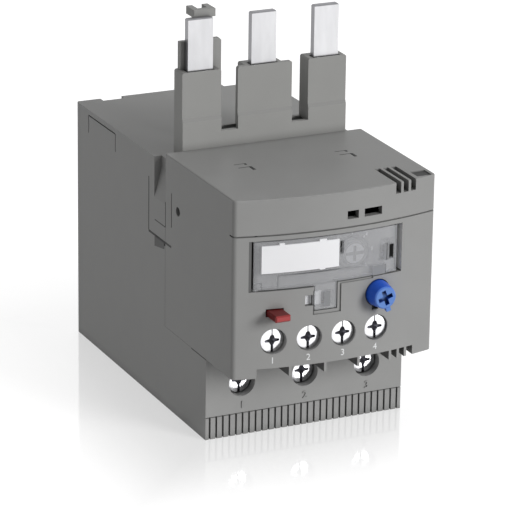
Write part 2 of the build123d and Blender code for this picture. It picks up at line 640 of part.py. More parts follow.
def load_strap(x):
    """The strap from inside the box lug to the foot of the bimetal."""
    middle_y = CLAMP_BACK_Y - 0.3 - STRAP_THICK / 2
    path = FilletPolyline((middle_y, STRAP_DROP), (middle_y, STRAP_Z + STRAP_THICK / 2),
                          (STRIP_Y + STRIP_WIDTH / 2 + 1, STRAP_Z + STRAP_THICK / 2), radius=0.6 + STRAP_THICK / 2)
    strap = extrude(Plane.YZ * trace(path, STRAP_THICK), STRAP_WIDTH / 2, both=True)
    tab_gap = 0.4
    tab = block((STRIP_THICK / 2 + tab_gap, STRIP_THICK / 2 + tab_gap + 1.5), around(STRIP_Y, STRIP_WIDTH + 1),
                (STRAP_TOP_Z - 0.5, STRAP_TOP_Z + 5.5))
    return Pos(x, 0, 0) * (strap + tab)


def box_lug(x):
    """The steel cage that closes on the cable: a square ring, threaded at the front."""
    ys = (LUG_FRONT_Y, LUG_FRONT_Y + LUG_DEPTH)
    zs = (LUG_BOTTOM_Z, LUG_BOTTOM_Z + LUG_HEIGHT)
    cage = block(around(0, LUG_OUTER_WIDTH), ys, zs)
    cage = fillet(cage.edges().filter_by(Axis.Z), 0.8)
    side = 1.4
    cage -= block(around(0, LUG_OUTER_WIDTH - 2 * side), (ys[0] + LUG_WALL, ys[1] - LUG_WALL), (zs[0] - 1, zs[1] + 1))
    cage -= rod_y(0, MAIN_SCREW_Z, MAIN_SHANK_RADIUS + MAIN_THREAD_GAP, ys[0] - 1, ys[0] + LUG_WALL + 1)
    return Pos(x, 0, 0) * cage


def main_terminal_screws():
    tip = CLAMP_FRONT_Y + 0.8
    screws = [terminal_screw(x, MAIN_SCREW_Z, MAIN_HEAD_FRONT_Y, MAIN_HEAD_RADIUS, MAIN_HEAD_HEIGHT, MAIN_SHANK_RADIUS, tip)
              for x in POLE_XS]
    return Compound(children=screws)


def bimetal_strip(x):
    return block(around(x, STRIP_THICK), around(STRIP_Y, STRIP_WIDTH), (STRIP_FOOT_Z, STRIP_TOP_Z))


def heater(x):
    """The heater winding: flat turns round the strip, joined by short risers, and a lead up to the busbar."""
    inner_x = STRIP_THICK / 2 + HEATER_GAP
    inner_y = STRIP_WIDTH / 2 + HEATER_GAP
    pitch = (HEATER_TOP_Z - HEATER_BOTTOM_Z) / HEATER_TURNS
    ring_face = (Pos(0, STRIP_Y) * (RectangleRounded(2 * (inner_x + HEATER_WIRE), 2 * (inner_y + HEATER_WIRE), 0.9)
                                   - Rectangle(2 * inner_x, 2 * inner_y)))
    ring = extrude(ring_face, HEATER_WIRE)
    winding = None
    for i in range(HEATER_TURNS):
        z = HEATER_BOTTOM_Z + i * pitch
        turn = Pos(0, 0, z) * ring
        winding = turn if winding is None else winding + turn
        if i:
            side = 1 if i % 2 else -1
            edge_y = STRIP_Y + side * (inner_y + HEATER_WIRE / 2)
            winding += block(around(0, 1.2), around(edge_y, HEATER_WIRE), (z - pitch + HEATER_WIRE / 2, z + HEATER_WIRE / 2))
    top = HEATER_BOTTOM_Z + (HEATER_TURNS - 1) * pitch
    lead_y = (STRIP_Y - SLIDE_WIDTH / 2 - 2.2, STRIP_Y - SLIDE_WIDTH / 2 - 1.2)
    winding += block(around(0, 1.6), (lead_y[0], STRIP_Y - inner_y - 0.1), (top, top + HEATER_WIRE))
    winding += block(around(0, 1.6), lead_y, (top, BAR_LEG_Z - 0.5))
    return Pos(x, 0, 0) * winding


def trip_slide():
    """The slide that all three strips push, with the finger that reaches the trip lever."""
    bar_left = -POLE_PITCH - 3.2
    bar = block((bar_left, FINGER_RIGHT_X), around(STRIP_Y, SLIDE_WIDTH), (SLIDE_Z, SLIDE_Z + SLIDE_THICK))
    finger = block((FINGER_LEFT_X, FINGER_RIGHT_X), (FINGER_FRONT_Y, STRIP_Y), (SLIDE_Z, SLIDE_Z + SLIDE_THICK))
    slide = bar + finger
    corner = slide.edges().filter_by(Axis.Z).filter_by_position(Axis.Y, STRIP_Y - SLIDE_WIDTH / 2 - 0.01,
                                                               STRIP_Y - SLIDE_WIDTH / 2 + 0.01)
    slide = fillet(corner.sort_by(Axis.X)[-1:], 1.5)
    for x in POLE_XS:
        slide -= block(around(x, STRIP_THICK + 2 * SLIDE_TIP_GAP), around(STRIP_Y, STRIP_WIDTH + 2 * SLIDE_TIP_GAP),
                       (SLIDE_Z - 1, SLIDE_Z + SLIDE_THICK + 1))
    return slide


def front_housing():
    body = curved_block(HALF, BLOCK_BACK_Y, 0, BLOCK_BOTTOM_Z, BLOCK_TOP_Z)
    body = fillet(body.edges().filter_by(Axis.Z).group_by(Axis.Y)[0], FRONT_EDGE_ROUND)
    body = fillet(body.faces().sort_by(Axis.Z)[-1].edges().sort_by(Axis.Y)[:-1], EDGE_ROUND * 0.6)
    body -= curved_block(HALF - BLOCK_WALL, BLOCK_BACK_Y + 1, BLOCK_WALL, BLOCK_FLOOR_Z, BLOCK_ROOF_Z)
    body += window_tray()
    body -= skirt_cut()
    body -= window_pocket()
    body += dial_ring()
    body -= front_openings()
    body -= top_openings()
    for side in (-1, 1):
        xs = (HALF - SIDE_SLIT_DEPTH, HALF + 1) if side > 0 else (-HALF - 1, SIDE_SLIT_DEPTH - HALF)
        body -= block(xs, (FRONT_SLIT_Y, BLOCK_BACK_Y + 1), around(CROSS_SLIT_Z, SIDE_SLIT * 1.3))
        body -= block(xs, around(FRONT_SLIT_Y, SIDE_SLIT), FRONT_SLIT_ZS)
    pin_hole = Pos(0, SIDE_PIN_Y, SIDE_PIN_Z) * Rot(0, 90, 0)
    body -= pin_hole * Cylinder(SIDE_PIN_RADIUS, BODY_WIDTH + 2)
    return body


def window_tray():
    """The tray behind the window and the pad behind its tab, both part of the front housing."""
    zs = (WINDOW_BOTTOM_Z - WINDOW_RIM, WINDOW_TOP_Z + WINDOW_RIM)
    xs = (-HALF + 0.5, WINDOW_RIGHT_X + WINDOW_RIM)
    tray = block(xs, (front_y(0), WINDOW_BACK_Y), zs)
    pad_xs = (FLAG_LEFT_X - FLAG_TRAVEL - 0.7, TAB_RIGHT_X + WINDOW_RIM)
    tray += block(pad_xs, (front_y(0), PAD_BACK_Y), (TAB_BOTTOM_Z - WINDOW_RIM, zs[0] + 0.1))
    return tray & curved_block(HALF - 0.5, 0, 0.5, 0, BLOCK_TOP_Z)


def window_pocket():
    lower_z = WINDOW_BOTTOM_Z + COVER_LOWER_LIFT - COVER_EDGE_GAP
    tab_edge_x = TAB_RIGHT_X - COVER_TAB_LAP + COVER_EDGE_GAP
    tab_edge_z = TAB_BOTTOM_Z + COVER_TAB_LAP - COVER_EDGE_GAP
    main = curved_plate((WINDOW_LEFT_X, WINDOW_RIGHT_X), (lower_z, WINDOW_TOP_Z), -1, WINDOW_DEPTH)
    main += curved_plate((WINDOW_LEFT_X, tab_edge_x), (WINDOW_BOTTOM_Z, lower_z + 0.1), -1, WINDOW_DEPTH)
    tab = curved_plate((TAB_LEFT_X, tab_edge_x), (tab_edge_z, WINDOW_BOTTOM_Z + 0.1), -1, TAB_DEPTH)
    # a shallow margin runs round the tab and on below the cover's right part
    tab += curved_plate((TAB_LEFT_X, TAB_RIGHT_X), (TAB_BOTTOM_Z, lower_z + 0.1), -1, COVER_LAP_DEPTH)
    tab += curved_plate((TAB_RIGHT_X - 0.1, COVER_LAP_END_X), (WINDOW_BOTTOM_Z, lower_z + 0.1), -1, COVER_LAP_DEPTH)
    peg_y = hinge_y()
    zs = (WINDOW_BOTTOM_Z - HINGE_PEG_LENGTH - 0.2, WINDOW_TOP_Z + HINGE_PEG_LENGTH + 0.2)
    pegs = rod_z(HINGE_X, peg_y, HINGE_PEG_RADIUS + HINGE_FIT, *zs)
    catch_y = front_y(COVER_RIGHT_X, WINDOW_DEPTH)
    catch = block((LATCH_SLOT_XS[0] - CATCH_THICK - 0.3, LATCH_SLOT_XS[1] + 0.3), (catch_y - 1, WINDOW_BACK_Y + 1),
                  (LATCH_SLOT_ZS[0] - 0.5, LATCH_SLOT_ZS[1] + 0.5))
    return main + tab + pegs + catch


def dial_ring():
    floor_y = front_y(DIAL_X, WINDOW_DEPTH)
    ring = rod_y(DIAL_X, DIAL_Z, DIAL_RING_RADIUS, floor_y - DIAL_RING_HEIGHT, floor_y + 1)
    return ring - rod_y(DIAL_X, DIAL_Z, DIAL_RADIUS + 0.2, floor_y - 2, floor_y + 1.1)


def front_openings():
    """Every hole through the curved front face."""
    ys = (front_y(0) - 1, PAD_BACK_Y + 0.5)
    holes = rod_y(RESET_X, RESET_Z, RESET_BACK_RADIUS + BUTTON_GAP, front_y(0) - 1, WINDOW_BACK_Y + 0.5)
    holes += block(around(STOP_X, STOP_WIDTH + 2 * BUTTON_GAP), (front_y(0) - 1, -14),
                   around(STOP_Z, STOP_HEIGHT + 2 * BUTTON_GAP))
    for x in AUX_SCREW_XS:
        holes += rod_y(x, AUX_SCREW_Z, AUX_HOLE_RADIUS, front_y(0) - 1, -14)
    for low, high in UPPER_WINDOW_SPANS:
        holes += block((low, high), ys, around(UPPER_WINDOW_Z, UPPER_WINDOW_HEIGHT))
    slot = (SLIDER_LEFT_X - SLIDER_SLOT_GAP, SLIDER_LEFT_X + SLIDER_WIDTH + SLIDER_TRAVEL + SLIDER_SLOT_GAP)
    holes += block(slot, ys, around(SLIDER_Z, SLIDER_HEIGHT + 2 * SLIDER_SLOT_GAP))
    flange_top = SLIDER_Z + SLIDER_HEIGHT / 2 + SLIDER_FLANGE_LIP + SLIDER_SLOT_GAP
    holes += block(slot, (PAD_BACK_Y, PAD_BACK_Y + 1.4), (SLIDER_Z, flange_top))
    holes += block(around(FLAG_WINDOW_X, FLAG_WINDOW_WIDTH), ys, around(SLIDER_Z, FLAG_WINDOW_HEIGHT))
    # the channel in which the flag slides, open to the back
    channel = (FLAG_LEFT_X - FLAG_TRAVEL - 2 * FLAG_RUN_GAP, FLAG_RIGHT_X + FLAG_RUN_GAP)
    holes += block(channel, (flag_y() - FLAG_RUN_GAP, PAD_BACK_Y + 0.5),
                   around(SLIDER_Z, FLAG_WINDOW_HEIGHT + 2 * (FLAG_HEIGHT_LAP + FLAG_RUN_GAP)))
    # a notch in the rim of the reset opening
    notch_x = RESET_X + RESET_NOTCH_OFFSET
    holes += block(around(notch_x, RESET_NOTCH_WIDTH), (front_y(0) - 1, front_y(notch_x) + RESET_NOTCH_DEPTH),
                   (RESET_Z - RESET_NOTCH_DROP, RESET_Z - RESET_BACK_RADIUS + 0.5))
    holes += rod_y(DIAL_X, DIAL_Z, DIAL_SHAFT_RADIUS + DIAL_FIT, front_y(0) - 1, WINDOW_BACK_Y + 1)
    holes += rod_y(DIAL_X, DIAL_Z, DIAL_RADIUS + 0.2, front_y(0) - 1, front_y(DIAL_X, WINDOW_DEPTH) + 1.0)
    return holes


def vent_xs():
    return [VENT_FIRST_X + i * VENT_PITCH for i in range(VENT_COUNT)]


def top_openings():
    ys = (front_y(0) - 1, VENT_TOP_BACK_Y)
    cuts = block(around(POCKET_X, POCKET_WIDTH), (POCKET_FRONT_Y, POCKET_FRONT_Y + POCKET_LENGTH),
                 (BLOCK_TOP_Z - POCKET_DEPTH, BLOCK_TOP_Z + 1))
    for x in vent_xs():
        cuts += block(around(x, VENT_WIDTH), ys, (BLOCK_TOP_Z - VENT_FRONT_DROP, BLOCK_TOP_Z + 1))
    # shallow hooked slits of the two snap tongues in the top
    mark_zs = (BLOCK_TOP_Z - TOP_MARK_DEPTH, BLOCK_TOP_Z + 1)
    for x in TOP_MARK_XS:
        cuts += block((x - TOP_MARK_LENGTH, x), around(TOP_MARK_Y, TOP_MARK_WIDTH * 0.6), mark_zs)
        cuts += block((x - TOP_MARK_WIDTH, x), (TOP_MARK_Y - TOP_MARK_HOOK, TOP_MARK_Y), mark_zs)
        rear_y = TOP_MARK_Y + TOP_MARK_SPACING
        cuts += block((x - TOP_MARK_LENGTH, x), around(rear_y, TOP_MARK_WIDTH * 0.4), mark_zs)
        cuts += block((x - TOP_MARK_WIDTH, x), (rear_y - TOP_MARK_WIDTH, rear_y), mark_zs)
    # the fine groove that runs round the front between the upper band and the face
    band = (GROOVE_Z - GROOVE_WIDTH / 2, GROOVE_Z + GROOVE_WIDTH / 2)
    ring = curved_block(HALF + 1, -BLOCK_OVERHANG + 2.2, -1, *band)
    ring -= curved_block(HALF - GROOVE_DEPTH, 5, GROOVE_DEPTH, *band)
    cuts += ring
    return cuts


def skirt_cut():
    """The raised underside between the corner lugs, less the ribs that part the wire entries."""
    inner = HALF - LUG_WIDTH
    cut = block((-inner, inner), (front_y(0) - 1, -0.5), (BLOCK_BOTTOM_Z - 1, SKIRT_Z))
    rib_xs = [(low + high) / 2 for low, high in zip(AUX_SCREW_XS, AUX_SCREW_XS[1:])]
    rib_xs.append(AUX_SCREW_XS[-1] + (AUX_SCREW_XS[-1] - AUX_SCREW_XS[-2]) / 2)
    rib_xs += [x + VENT_PITCH / 2 for x in vent_xs()[:-1]]
    for x in rib_xs:
        cut -= block(around(x, ENTRY_RIB), (front_y(0) - 2, 0), (BLOCK_BOTTOM_Z, SKIRT_Z + 0.1))
    for x in AUX_SCREW_XS:
        cut += block(around(x, AUX_ENTRY_WIDTH), (TERMINAL_FRONT_Y - 0.2 - AUX_ENTRY_DEPTH, TERMINAL_FRONT_Y - 0.2),
                     (SKIRT_Z - 0.1, BLOCK_FLOOR_Z + 1))
    for x in vent_xs():
        cut += block(around(x, VENT_WIDTH), (front_y(x, BLOCK_WALL) + 0.4, -6), (SKIRT_Z - 0.1, BLOCK_FLOOR_Z + 1))
    return cut


def hinge_y():
    return front_y(HINGE_X, COVER_GAP) + HINGE_RADIUS


def front_cover():
    """The clear cover: a curved plate with a tab, hinged on two pegs at its left edge."""
    zs = (WINDOW_BOTTOM_Z + COVER_EDGE_GAP, WINDOW_TOP_Z - COVER_EDGE_GAP)
    back = COVER_GAP + COVER_THICK
    plate = curved_plate((HINGE_X, COVER_RIGHT_X), zs, COVER_GAP, back)
    tab_xs = (TAB_LEFT_X + COVER_EDGE_GAP, TAB_RIGHT_X - COVER_TAB_LAP)
    tab_zs = (TAB_BOTTOM_Z + COVER_TAB_LAP, zs[0] + 0.1)
    plate += curved_plate(tab_xs, tab_zs, COVER_GAP, COVER_GAP + COVER_TAB_THICK)
    plate -= curved_plate((tab_xs[1], COVER_RIGHT_X + 1), (zs[0] - 1, WINDOW_BOTTOM_Z + COVER_LOWER_LIFT), -1, back + 1)
    y = hinge_y()
    plate += rod_z(HINGE_X, y, HINGE_RADIUS, *zs)
    plate += rod_z(HINGE_X, y, HINGE_PEG_RADIUS, WINDOW_BOTTOM_Z - HINGE_PEG_LENGTH, WINDOW_TOP_Z + HINGE_PEG_LENGTH)
    for xs, spans in label_outline(LABEL_GAP):
        plate -= curved_plate(xs, spans, -1, COVER_GAP + LABEL_THICK)
    # shallow steps below the label, a square cut in the lower edge, and the notch beside the dial
    step = (COVER_GAP - 1, COVER_GAP + COVER_STEP_DEPTH)
    plate -= curved_plate(around(COVER_STEP_X, COVER_STEP_WIDTH), (zs[0] - 1, COVER_STEP_Z), *step)
    plate -= curved_plate((COVER_STEP_X, LABEL_RIGHT_X), around(COVER_STEP_Z, COVER_STEP_WIDTH), *step)
    plate -= curved_plate(around(COVER_FOOT_X, COVER_STEP_WIDTH), (zs[0] - 1, COVER_FOOT_TOP_Z), *step)
    plate -= curved_plate(COVER_SQUARE_XS, (zs[0] - 1, COVER_SQUARE_TOP_Z), -1, back + 1)
    plate -= curved_plate(COVER_NOTCH_XS, COVER_NOTCH_ZS, -1, back + 1)
    # latch: a framed slot, with the catch just left of it on the back
    frame_xs = (LATCH_SLOT_XS[0] - LATCH_FRAME, LATCH_SLOT_XS[1] + LATCH_FRAME)
    frame_zs = (LATCH_SLOT_ZS[0] - LATCH_FRAME, LATCH_SLOT_ZS[1] + LATCH_FRAME)
    plate += curved_plate(frame_xs, frame_zs, COVER_GAP - LATCH_FRAME_RISE, COVER_GAP + 0.1)
    plate -= curved_plate(LATCH_SLOT_XS, LATCH_SLOT_ZS, -1, back + 1)
    catch_y = front_y(COVER_RIGHT_X, back)
    plate += block((LATCH_SLOT_XS[0] - CATCH_THICK, LATCH_SLOT_XS[0]), (catch_y - 0.4, catch_y + CATCH_REACH), LATCH_SLOT_ZS)
    return plate


def label_outline(margin):
    """The x and z spans of the label and of its nubs, each grown by a margin."""
    spans = [((LABEL_LEFT_X, LABEL_RIGHT_X), (LABEL_BOTTOM_Z, LABEL_BOTTOM_Z + LABEL_HEIGHT))]
    for xs in LABEL_NUBS:
        spans.append((xs, (LABEL_BOTTOM_Z + LABEL_HEIGHT - 1, LABEL_BOTTOM_Z + LABEL_HEIGHT + LABEL_NUB_HEIGHT)))
    spans.append((LABEL_LOWER_NUB, (LABEL_BOTTOM_Z - LABEL_NUB_HEIGHT / 2, LABEL_BOTTOM_Z + 1)))
    return [((xs[0] - margin, xs[1] + margin), (zs[0] - margin, zs[1] + margin)) for xs, zs in spans]


def marking_plate():
    plate = None
    for xs, zs in label_outline(0):
        piece = curved_plate(xs, zs, COVER_GAP - 0.05, COVER_GAP + LABEL_THICK - 0.05)
        plate = piece if plate is None else plate + piece
    return plate


def setting_dial():
    """The dial with its cross slot, shaft and tail."""
    face_y = front_y(DIAL_X, WINDOW_DEPTH) + 0.9 - DIAL_HEIGHT
    dial = rod_y(DIAL_X, DIAL_Z, DIAL_RADIUS, face_y, face_y + DIAL_HEIGHT)
    dial = chamfer(dial.edges().group_by(Axis.Y)[0], 0.3)
    dial -= block(around(DIAL_X, 3.8), (face_y - 1, face_y + 0.9), around(DIAL_Z, 0.9))
    dial -= block(around(DIAL_X, 0.9), (face_y - 1, face_y + 0.9), around(DIAL_Z, 3.8))
    dial += rod_y(DIAL_X, DIAL_Z, DIAL_SHAFT_RADIUS, face_y + DIAL_HEIGHT - 0.1, CAM_FRONT_Y - 0.05)
    dial += rod_y(DIAL_X, DIAL_Z, DIAL_TAIL_RADIUS, CAM_FRONT_Y - 0.1, BEARING_FRONT_Y + 3.5)
    return dial


def setting_cam():
    """A spiral cam: its radius at the follower grows evenly as the dial turns."""
    steps = 12
    step_angle = DIAL_TURN / steps
    points = []
    for i in range(steps + 1):
        angle = pi + i * step_angle * pi / 180
        radius = CAM_BASE_RADIUS + CAM_LIFT * i / steps
        points.append((radius * cos(angle), radius * sin(angle)))
    spiral = Spline(*points)
    outline = make_face([spiral, Line(points[-1], points[0])]) + Circle(CAM_BASE_RADIUS - 0.6)
    outline -= Circle(DIAL_TAIL_RADIUS + 0.02)
    cam = extrude(outline, CAM_THICK)
    # the flat drawing lies in x and y; turned upright, its second axis points up and it runs backwards
    return Pos(DIAL_X, CAM_BACK_Y, DIAL_Z) * Rot(90, 0, 0) * cam


def setting_bracket():
    """The bracket that the cam pushes sideways, with both ears of the trip lever's pivot."""
    left = DIAL_X - CAM_BASE_RADIUS - 0.1 - 1.4
    right = PIVOT_X + HUB_RADIUS + 1.0
    ys = (BRACKET_FRONT_Y, BRACKET_BACK_Y)
    bar_z = around(DIAL_Z, BRACKET_BAR_HEIGHT)
    ear_bottom = PIVOT_Z - HUB_RADIUS - 0.6
    outline = [(left, bar_z[0]), (PIVOT_X - 3.4, bar_z[0]), (PIVOT_X - 3.4, ear_bottom), (right, ear_bottom),
               (right, bar_z[1]), (left, bar_z[1])]
    plate = front_profile(outline, *ys)
    slot_half = CAM_LIFT + DIAL_TAIL_RADIUS + 0.5
    plate -= block((DIAL_X - DIAL_TAIL_RADIUS - 0.4, DIAL_X + slot_half), (ys[0] - 1, ys[1] + 1), around(DIAL_Z, 2 * DIAL_TAIL_RADIUS + 0.8))
    plate += block((left, left + 1.4), (CAM_FRONT_Y + 0.2, ys[0] + 0.1), around(DIAL_Z, 3.0))
    web = (right - 0.1, right + BRACKET_EAR_WIDTH)
    ear_z = (ear_bottom, PIVOT_Z + HUB_RADIUS + 0.6)
    plate += block(web, (ys[0], HUB_BACK_Y + 0.3 + BRACKET_THICK), ear_z)
    plate += block((PIVOT_X - 2.4, web[1]), (HUB_BACK_Y + 0.3, HUB_BACK_Y + 0.3 + BRACKET_THICK), ear_z)
    plate -= rod_y(PIVOT_X, PIVOT_Z, PIVOT_RADIUS + 0.02, ys[0] - 1, HUB_BACK_Y + 3)
    return plate


def lever_pivot_pin():
    return rod_y(PIVOT_X, PIVOT_Z, PIVOT_RADIUS, BRACKET_FRONT_Y, HUB_BACK_Y + 0.3 + BRACKET_THICK)


def trip_lever():
    """A bell crank: a long hub, and a side arm that reaches over to the contact carriage."""
    hub = rod_y(PIVOT_X, PIVOT_Z, HUB_RADIUS, HUB_FRONT_Y, HUB_BACK_Y)
    tip_z = BEAM_TOP_Z + LEVER_TIP_GAP
    half = LEVER_ARM_THICK / 2
    knee_x = LEVER_TIP_X + 7.6
    arm_top = tip_z + LEVER_ARM_THICK + 1.9
    outline = [(LEVER_TIP_X - 1, tip_z), (LEVER_TIP_X + 1, tip_z), (LEVER_TIP_X + 1, arm_top - LEVER_ARM_THICK),
               (knee_x, arm_top - LEVER_ARM_THICK), (PIVOT_X - half, PIVOT_Z - half), (PIVOT_X + half, PIVOT_Z + half),
               (knee_x + LEVER_ARM_THICK, arm_top), (LEVER_TIP_X - 1, arm_top)]
    arm_y = around(BEAM_FRONT_Y + BEAM_DEPTH / 2, LEVER_ARM_WIDTH - 0.4)
    arm = front_profile(outline, *arm_y)
    seat = block((COMPENSATOR_X - COMPENSATOR_THICK - 1.2, COMPENSATOR_X - COMPENSATOR_THICK),
                 around(FINGER_FRONT_Y + 3.5, COMPENSATOR_WIDTH), (PIVOT_Z, PIVOT_Z + 6.5))
    lever = hub + arm + seat
    lever -= rod_y(PIVOT_X, PIVOT_Z, PIVOT_RADIUS + PIVOT_FIT, HUB_FRONT_Y - 1, HUB_BACK_Y + 1)
    return lever


def compensation_strip():
    """The bimetal arm of the trip lever, which evens out the temperature of the room."""
    xs = (COMPENSATOR_X - COMPENSATOR_THICK, COMPENSATOR_X)
    ys = around(FINGER_FRONT_Y + 3.5, COMPENSATOR_WIDTH)
    bottom = PIVOT_Z + HUB_RADIUS + 0.15
    return block(xs, ys, (bottom, SLIDE_Z + SLIDE_THICK + 1.2))


def contact_terminal(x, strip_z, contact_up):
    """A terminal plate with a tapped hole, and the strip that carries its fixed contact."""
    plate_y = (TERMINAL_FRONT_Y, TERMINAL_FRONT_Y + TERMINAL_THICK)
    bottom = SHELF_TOP_Z + 0.1
    top = max(AUX_SCREW_Z + 3.4, strip_z + TERMINAL_THICK)
    plate = block(around(x, TERMINAL_WIDTH), plate_y, (bottom, top))
    plate -= rod_y(x, AUX_SCREW_Z, AUX_SHANK_RADIUS + 0.05, plate_y[0] - 1, plate_y[1] + 1)
    strip = block(around(x, CONTACT_STRIP_WIDTH), (plate_y[0], BULKHEAD_Y - 0.3), (strip_z, strip_z + TERMINAL_THICK))
    rivet_z = strip_z + TERMINAL_THICK - 0.05 if contact_up else strip_z - RIVET_HEIGHT
    rivet = rod_z(x, CONTACT_Y, RIVET_RADIUS, rivet_z, rivet_z + RIVET_HEIGHT + 0.05)
    return plate + strip + rivet


def contact_bridge(centre_x, x_left, x_right, bottom_z, contact_up):
    """A moving contact bridge with a rivet at each end."""
    bridge = block((x_left - 1.6, x_right + 1.6), around(CONTACT_Y, BRIDGE_WIDTH), (bottom_z, bottom_z + BRIDGE_THICK))
    bridge = fillet(bridge.edges().filter_by(Axis.Z), 0.8)
    rivet_z = bottom_z + BRIDGE_THICK - 0.05 if contact_up else bottom_z - RIVET_HEIGHT
    for x in (x_left, x_right):
        bridge += rod_z(x, CONTACT_Y, RIVET_RADIUS, rivet_z, rivet_z + RIVET_HEIGHT + 0.05)
    return bridge


def carriage_windows():
    """Centre x, low z and high z of the two windows that hold the bridges."""
    nc = (NC_CENTRE_X, NC_BRIDGE_TOP_Z - BRIDGE_THICK - BRIDGE_SPRING_ROOM, NC_BRIDGE_TOP_Z + 0.15)
    no = (NO_CENTRE_X, NO_BRIDGE_Z - 0.05, NO_BRIDGE_Z + BRIDGE_THICK + BRIDGE_SPRING_ROOM)
    return nc, no


def contact_carriage():
    """The sliding carriage: a beam with an arm round the middle of each bridge."""
    arm_width = 2.6
    beam_xs = (NC_CENTRE_X - arm_width / 2, LEVER_TIP_X + 0.8)
    carriage = block(beam_xs, (BEAM_FRONT_Y, BEAM_BACK_Y), (BEAM_BOTTOM_Z, BEAM_TOP_Z))
    front = CONTACT_Y - BRIDGE_WIDTH / 2 - 0.8
    for x, low, high in carriage_windows():
        carriage += block(around(x, arm_width), (front, BEAM_BACK_Y), (low - 1.2, BEAM_TOP_Z))
        carriage -= block(around(x, arm_width + 1), around(CONTACT_Y, BRIDGE_WIDTH + 0.3), (low, high))
    guide = (GUIDE_X - GUIDE_WIDTH / 2 - 0.15, GUIDE_X + GUIDE_WIDTH / 2 + 0.15)
    carriage -= block(guide, (BEAM_BACK_Y - 1.5, BEAM_BACK_Y + 1), (BEAM_BOTTOM_Z - 1, BEAM_TOP_Z + 1))
    return carriage


def bridge_springs():
    """The two small springs that press the bridges towards their contacts."""
    nc, no = carriage_windows()
    spans = ((nc[0], nc[1], NC_BRIDGE_TOP_Z - BRIDGE_THICK), (no[0], NO_BRIDGE_Z + BRIDGE_THICK, no[2]))
    springs = []
    for x, low, high in spans:
        height = high - low - BRIDGE_SPRING_WIRE - 2 * BRIDGE_END_GAP
        path = Helix(pitch=height / BRIDGE_SPRING_TURNS, height=height, radius=BRIDGE_SPRING_RADIUS)
        section = Plane(origin=path @ 0, z_dir=path % 0) * RegularPolygon(BRIDGE_SPRING_WIRE / 2, WIRE_SIDES)
        coil = sweep(section, path=path, is_frenet=True)
        springs.append(Pos(x, CONTACT_Y, low + BRIDGE_SPRING_WIRE / 2 + BRIDGE_END_GAP) * coil)
    return Compound(children=springs)


def mechanism_frame():
    """The inner frame: shelf, terminal wall, bulkhead and back plate, with bearings and spring seats."""
    wall_y = TERMINAL_FRONT_Y + TERMINAL_THICK + 0.2
    frame = block((-FRAME_HALF, FRAME_HALF), (wall_y, FRAME_BACK_Y), (FRAME_FLOOR_Z, SHELF_TOP_Z))
    wall_top = AUX_SCREW_Z + 4.2
    wall_right_x = min(AUX_SCREW_XS[-1] + 4.6, PIVOT_X - 5.3)
    frame += block((-FRAME_HALF, wall_right_x), (wall_y, wall_y + FRAME_WALL), (FRAME_FLOOR_Z, wall_top))
    frame += block((-FRAME_HALF, FRAME_HALF), (BULKHEAD_Y, BULKHEAD_Y + BULKHEAD_THICK), (FRAME_FLOOR_Z, FRAME_TOP_Z))
    frame += block((-FRAME_HALF, FRAME_HALF), (FRAME_BACK_Y - FRAME_BACK_THICK, FRAME_BACK_Y), (FRAME_FLOOR_Z, FRAME_TOP_Z))
    for x in AUX_SCREW_XS:
        frame -= rod_y(x, AUX_SCREW_Z, AUX_SHANK_RADIUS + 0.4, wall_y - 1, wall_y + FRAME_WALL + 1)
    for x in AUX_SCREW_XS[2:]:
        frame -= block(around(x, CONTACT_STRIP_WIDTH + 0.4), (wall_y - 1, wall_y + FRAME_WALL + 1),
                       (NO_STRIP_Z - 0.2, NO_STRIP_Z + TERMINAL_THICK + 0.2))
    # window in the bulkhead for the trip lever and its bracket
    window = (PIVOT_X - 6.8, FRAME_HALF + 1)
    frame -= block(window, (BULKHEAD_Y - 1, BULKHEAD_Y + BULKHEAD_THICK + 1), (PIVOT_Z - 4.6, SLIDE_Z + SLIDE_THICK + 3))
    finger_slot = (FINGER_LEFT_X - SLIDE_TRAVEL - 0.5, FINGER_RIGHT_X + 0.5)
    frame -= block(finger_slot, (FRAME_BACK_Y - FRAME_BACK_THICK - 1, FRAME_BACK_Y + 1),
                   (SLIDE_Z - 0.5, SLIDE_Z + SLIDE_THICK + 0.5))
    # bearing of the dial's tail
    frame += rod_y(DIAL_X, DIAL_Z, DIAL_TAIL_RADIUS + 1.3, BEARING_FRONT_Y, BULKHEAD_Y + 0.1)
    frame -= rod_y(DIAL_X, DIAL_Z, DIAL_TAIL_RADIUS + DIAL_FIT, BEARING_FRONT_Y - 1, BEARING_FRONT_Y + 4.5)
    # spring seats of the stop and reset buttons
    for x, z, stem in ((STOP_X, STOP_Z, STOP_STEM_RADIUS), (RESET_X, RESET_Z, RESET_STEM_RADIUS)):
        frame += rod_y(x, z, stem + SEAT_WALL, SEAT_FRONT_Y, BULKHEAD_Y + 0.1)
        frame -= rod_y(x, z, stem + 0.06, SEAT_FRONT_Y - 1, BULKHEAD_Y - 0.5)
    # the reset seat is cut down where the lever's arm swings over it
    frame -= block((LEVER_TIP_X - 1, PIVOT_X - 5), (BEAM_FRONT_Y - 0.4, BULKHEAD_Y), (BEAM_TOP_Z + 0.1, BEAM_TOP_Z + 4))
    frame += block(around(GUIDE_X, GUIDE_WIDTH), (BEAM_BACK_Y - 1.3, BULKHEAD_Y + 0.1),
                   (BEAM_BOTTOM_Z - CARRIAGE_TRAVEL - 2, BEAM_TOP_Z + 2))
    # rails above and below the setting bracket
    bar_z = around(DIAL_Z, BRACKET_BAR_HEIGHT)
    for low, high in ((bar_z[1] + BRACKET_GAP, bar_z[1] + BRACKET_GAP + 1.4), (bar_z[0] - BRACKET_GAP - 1.4, bar_z[0] - BRACKET_GAP)):
        frame += block((-2.5, PIVOT_X - 6.8), (BRACKET_FRONT_Y, BULKHEAD_Y + 0.1), (low, high))
    return frame


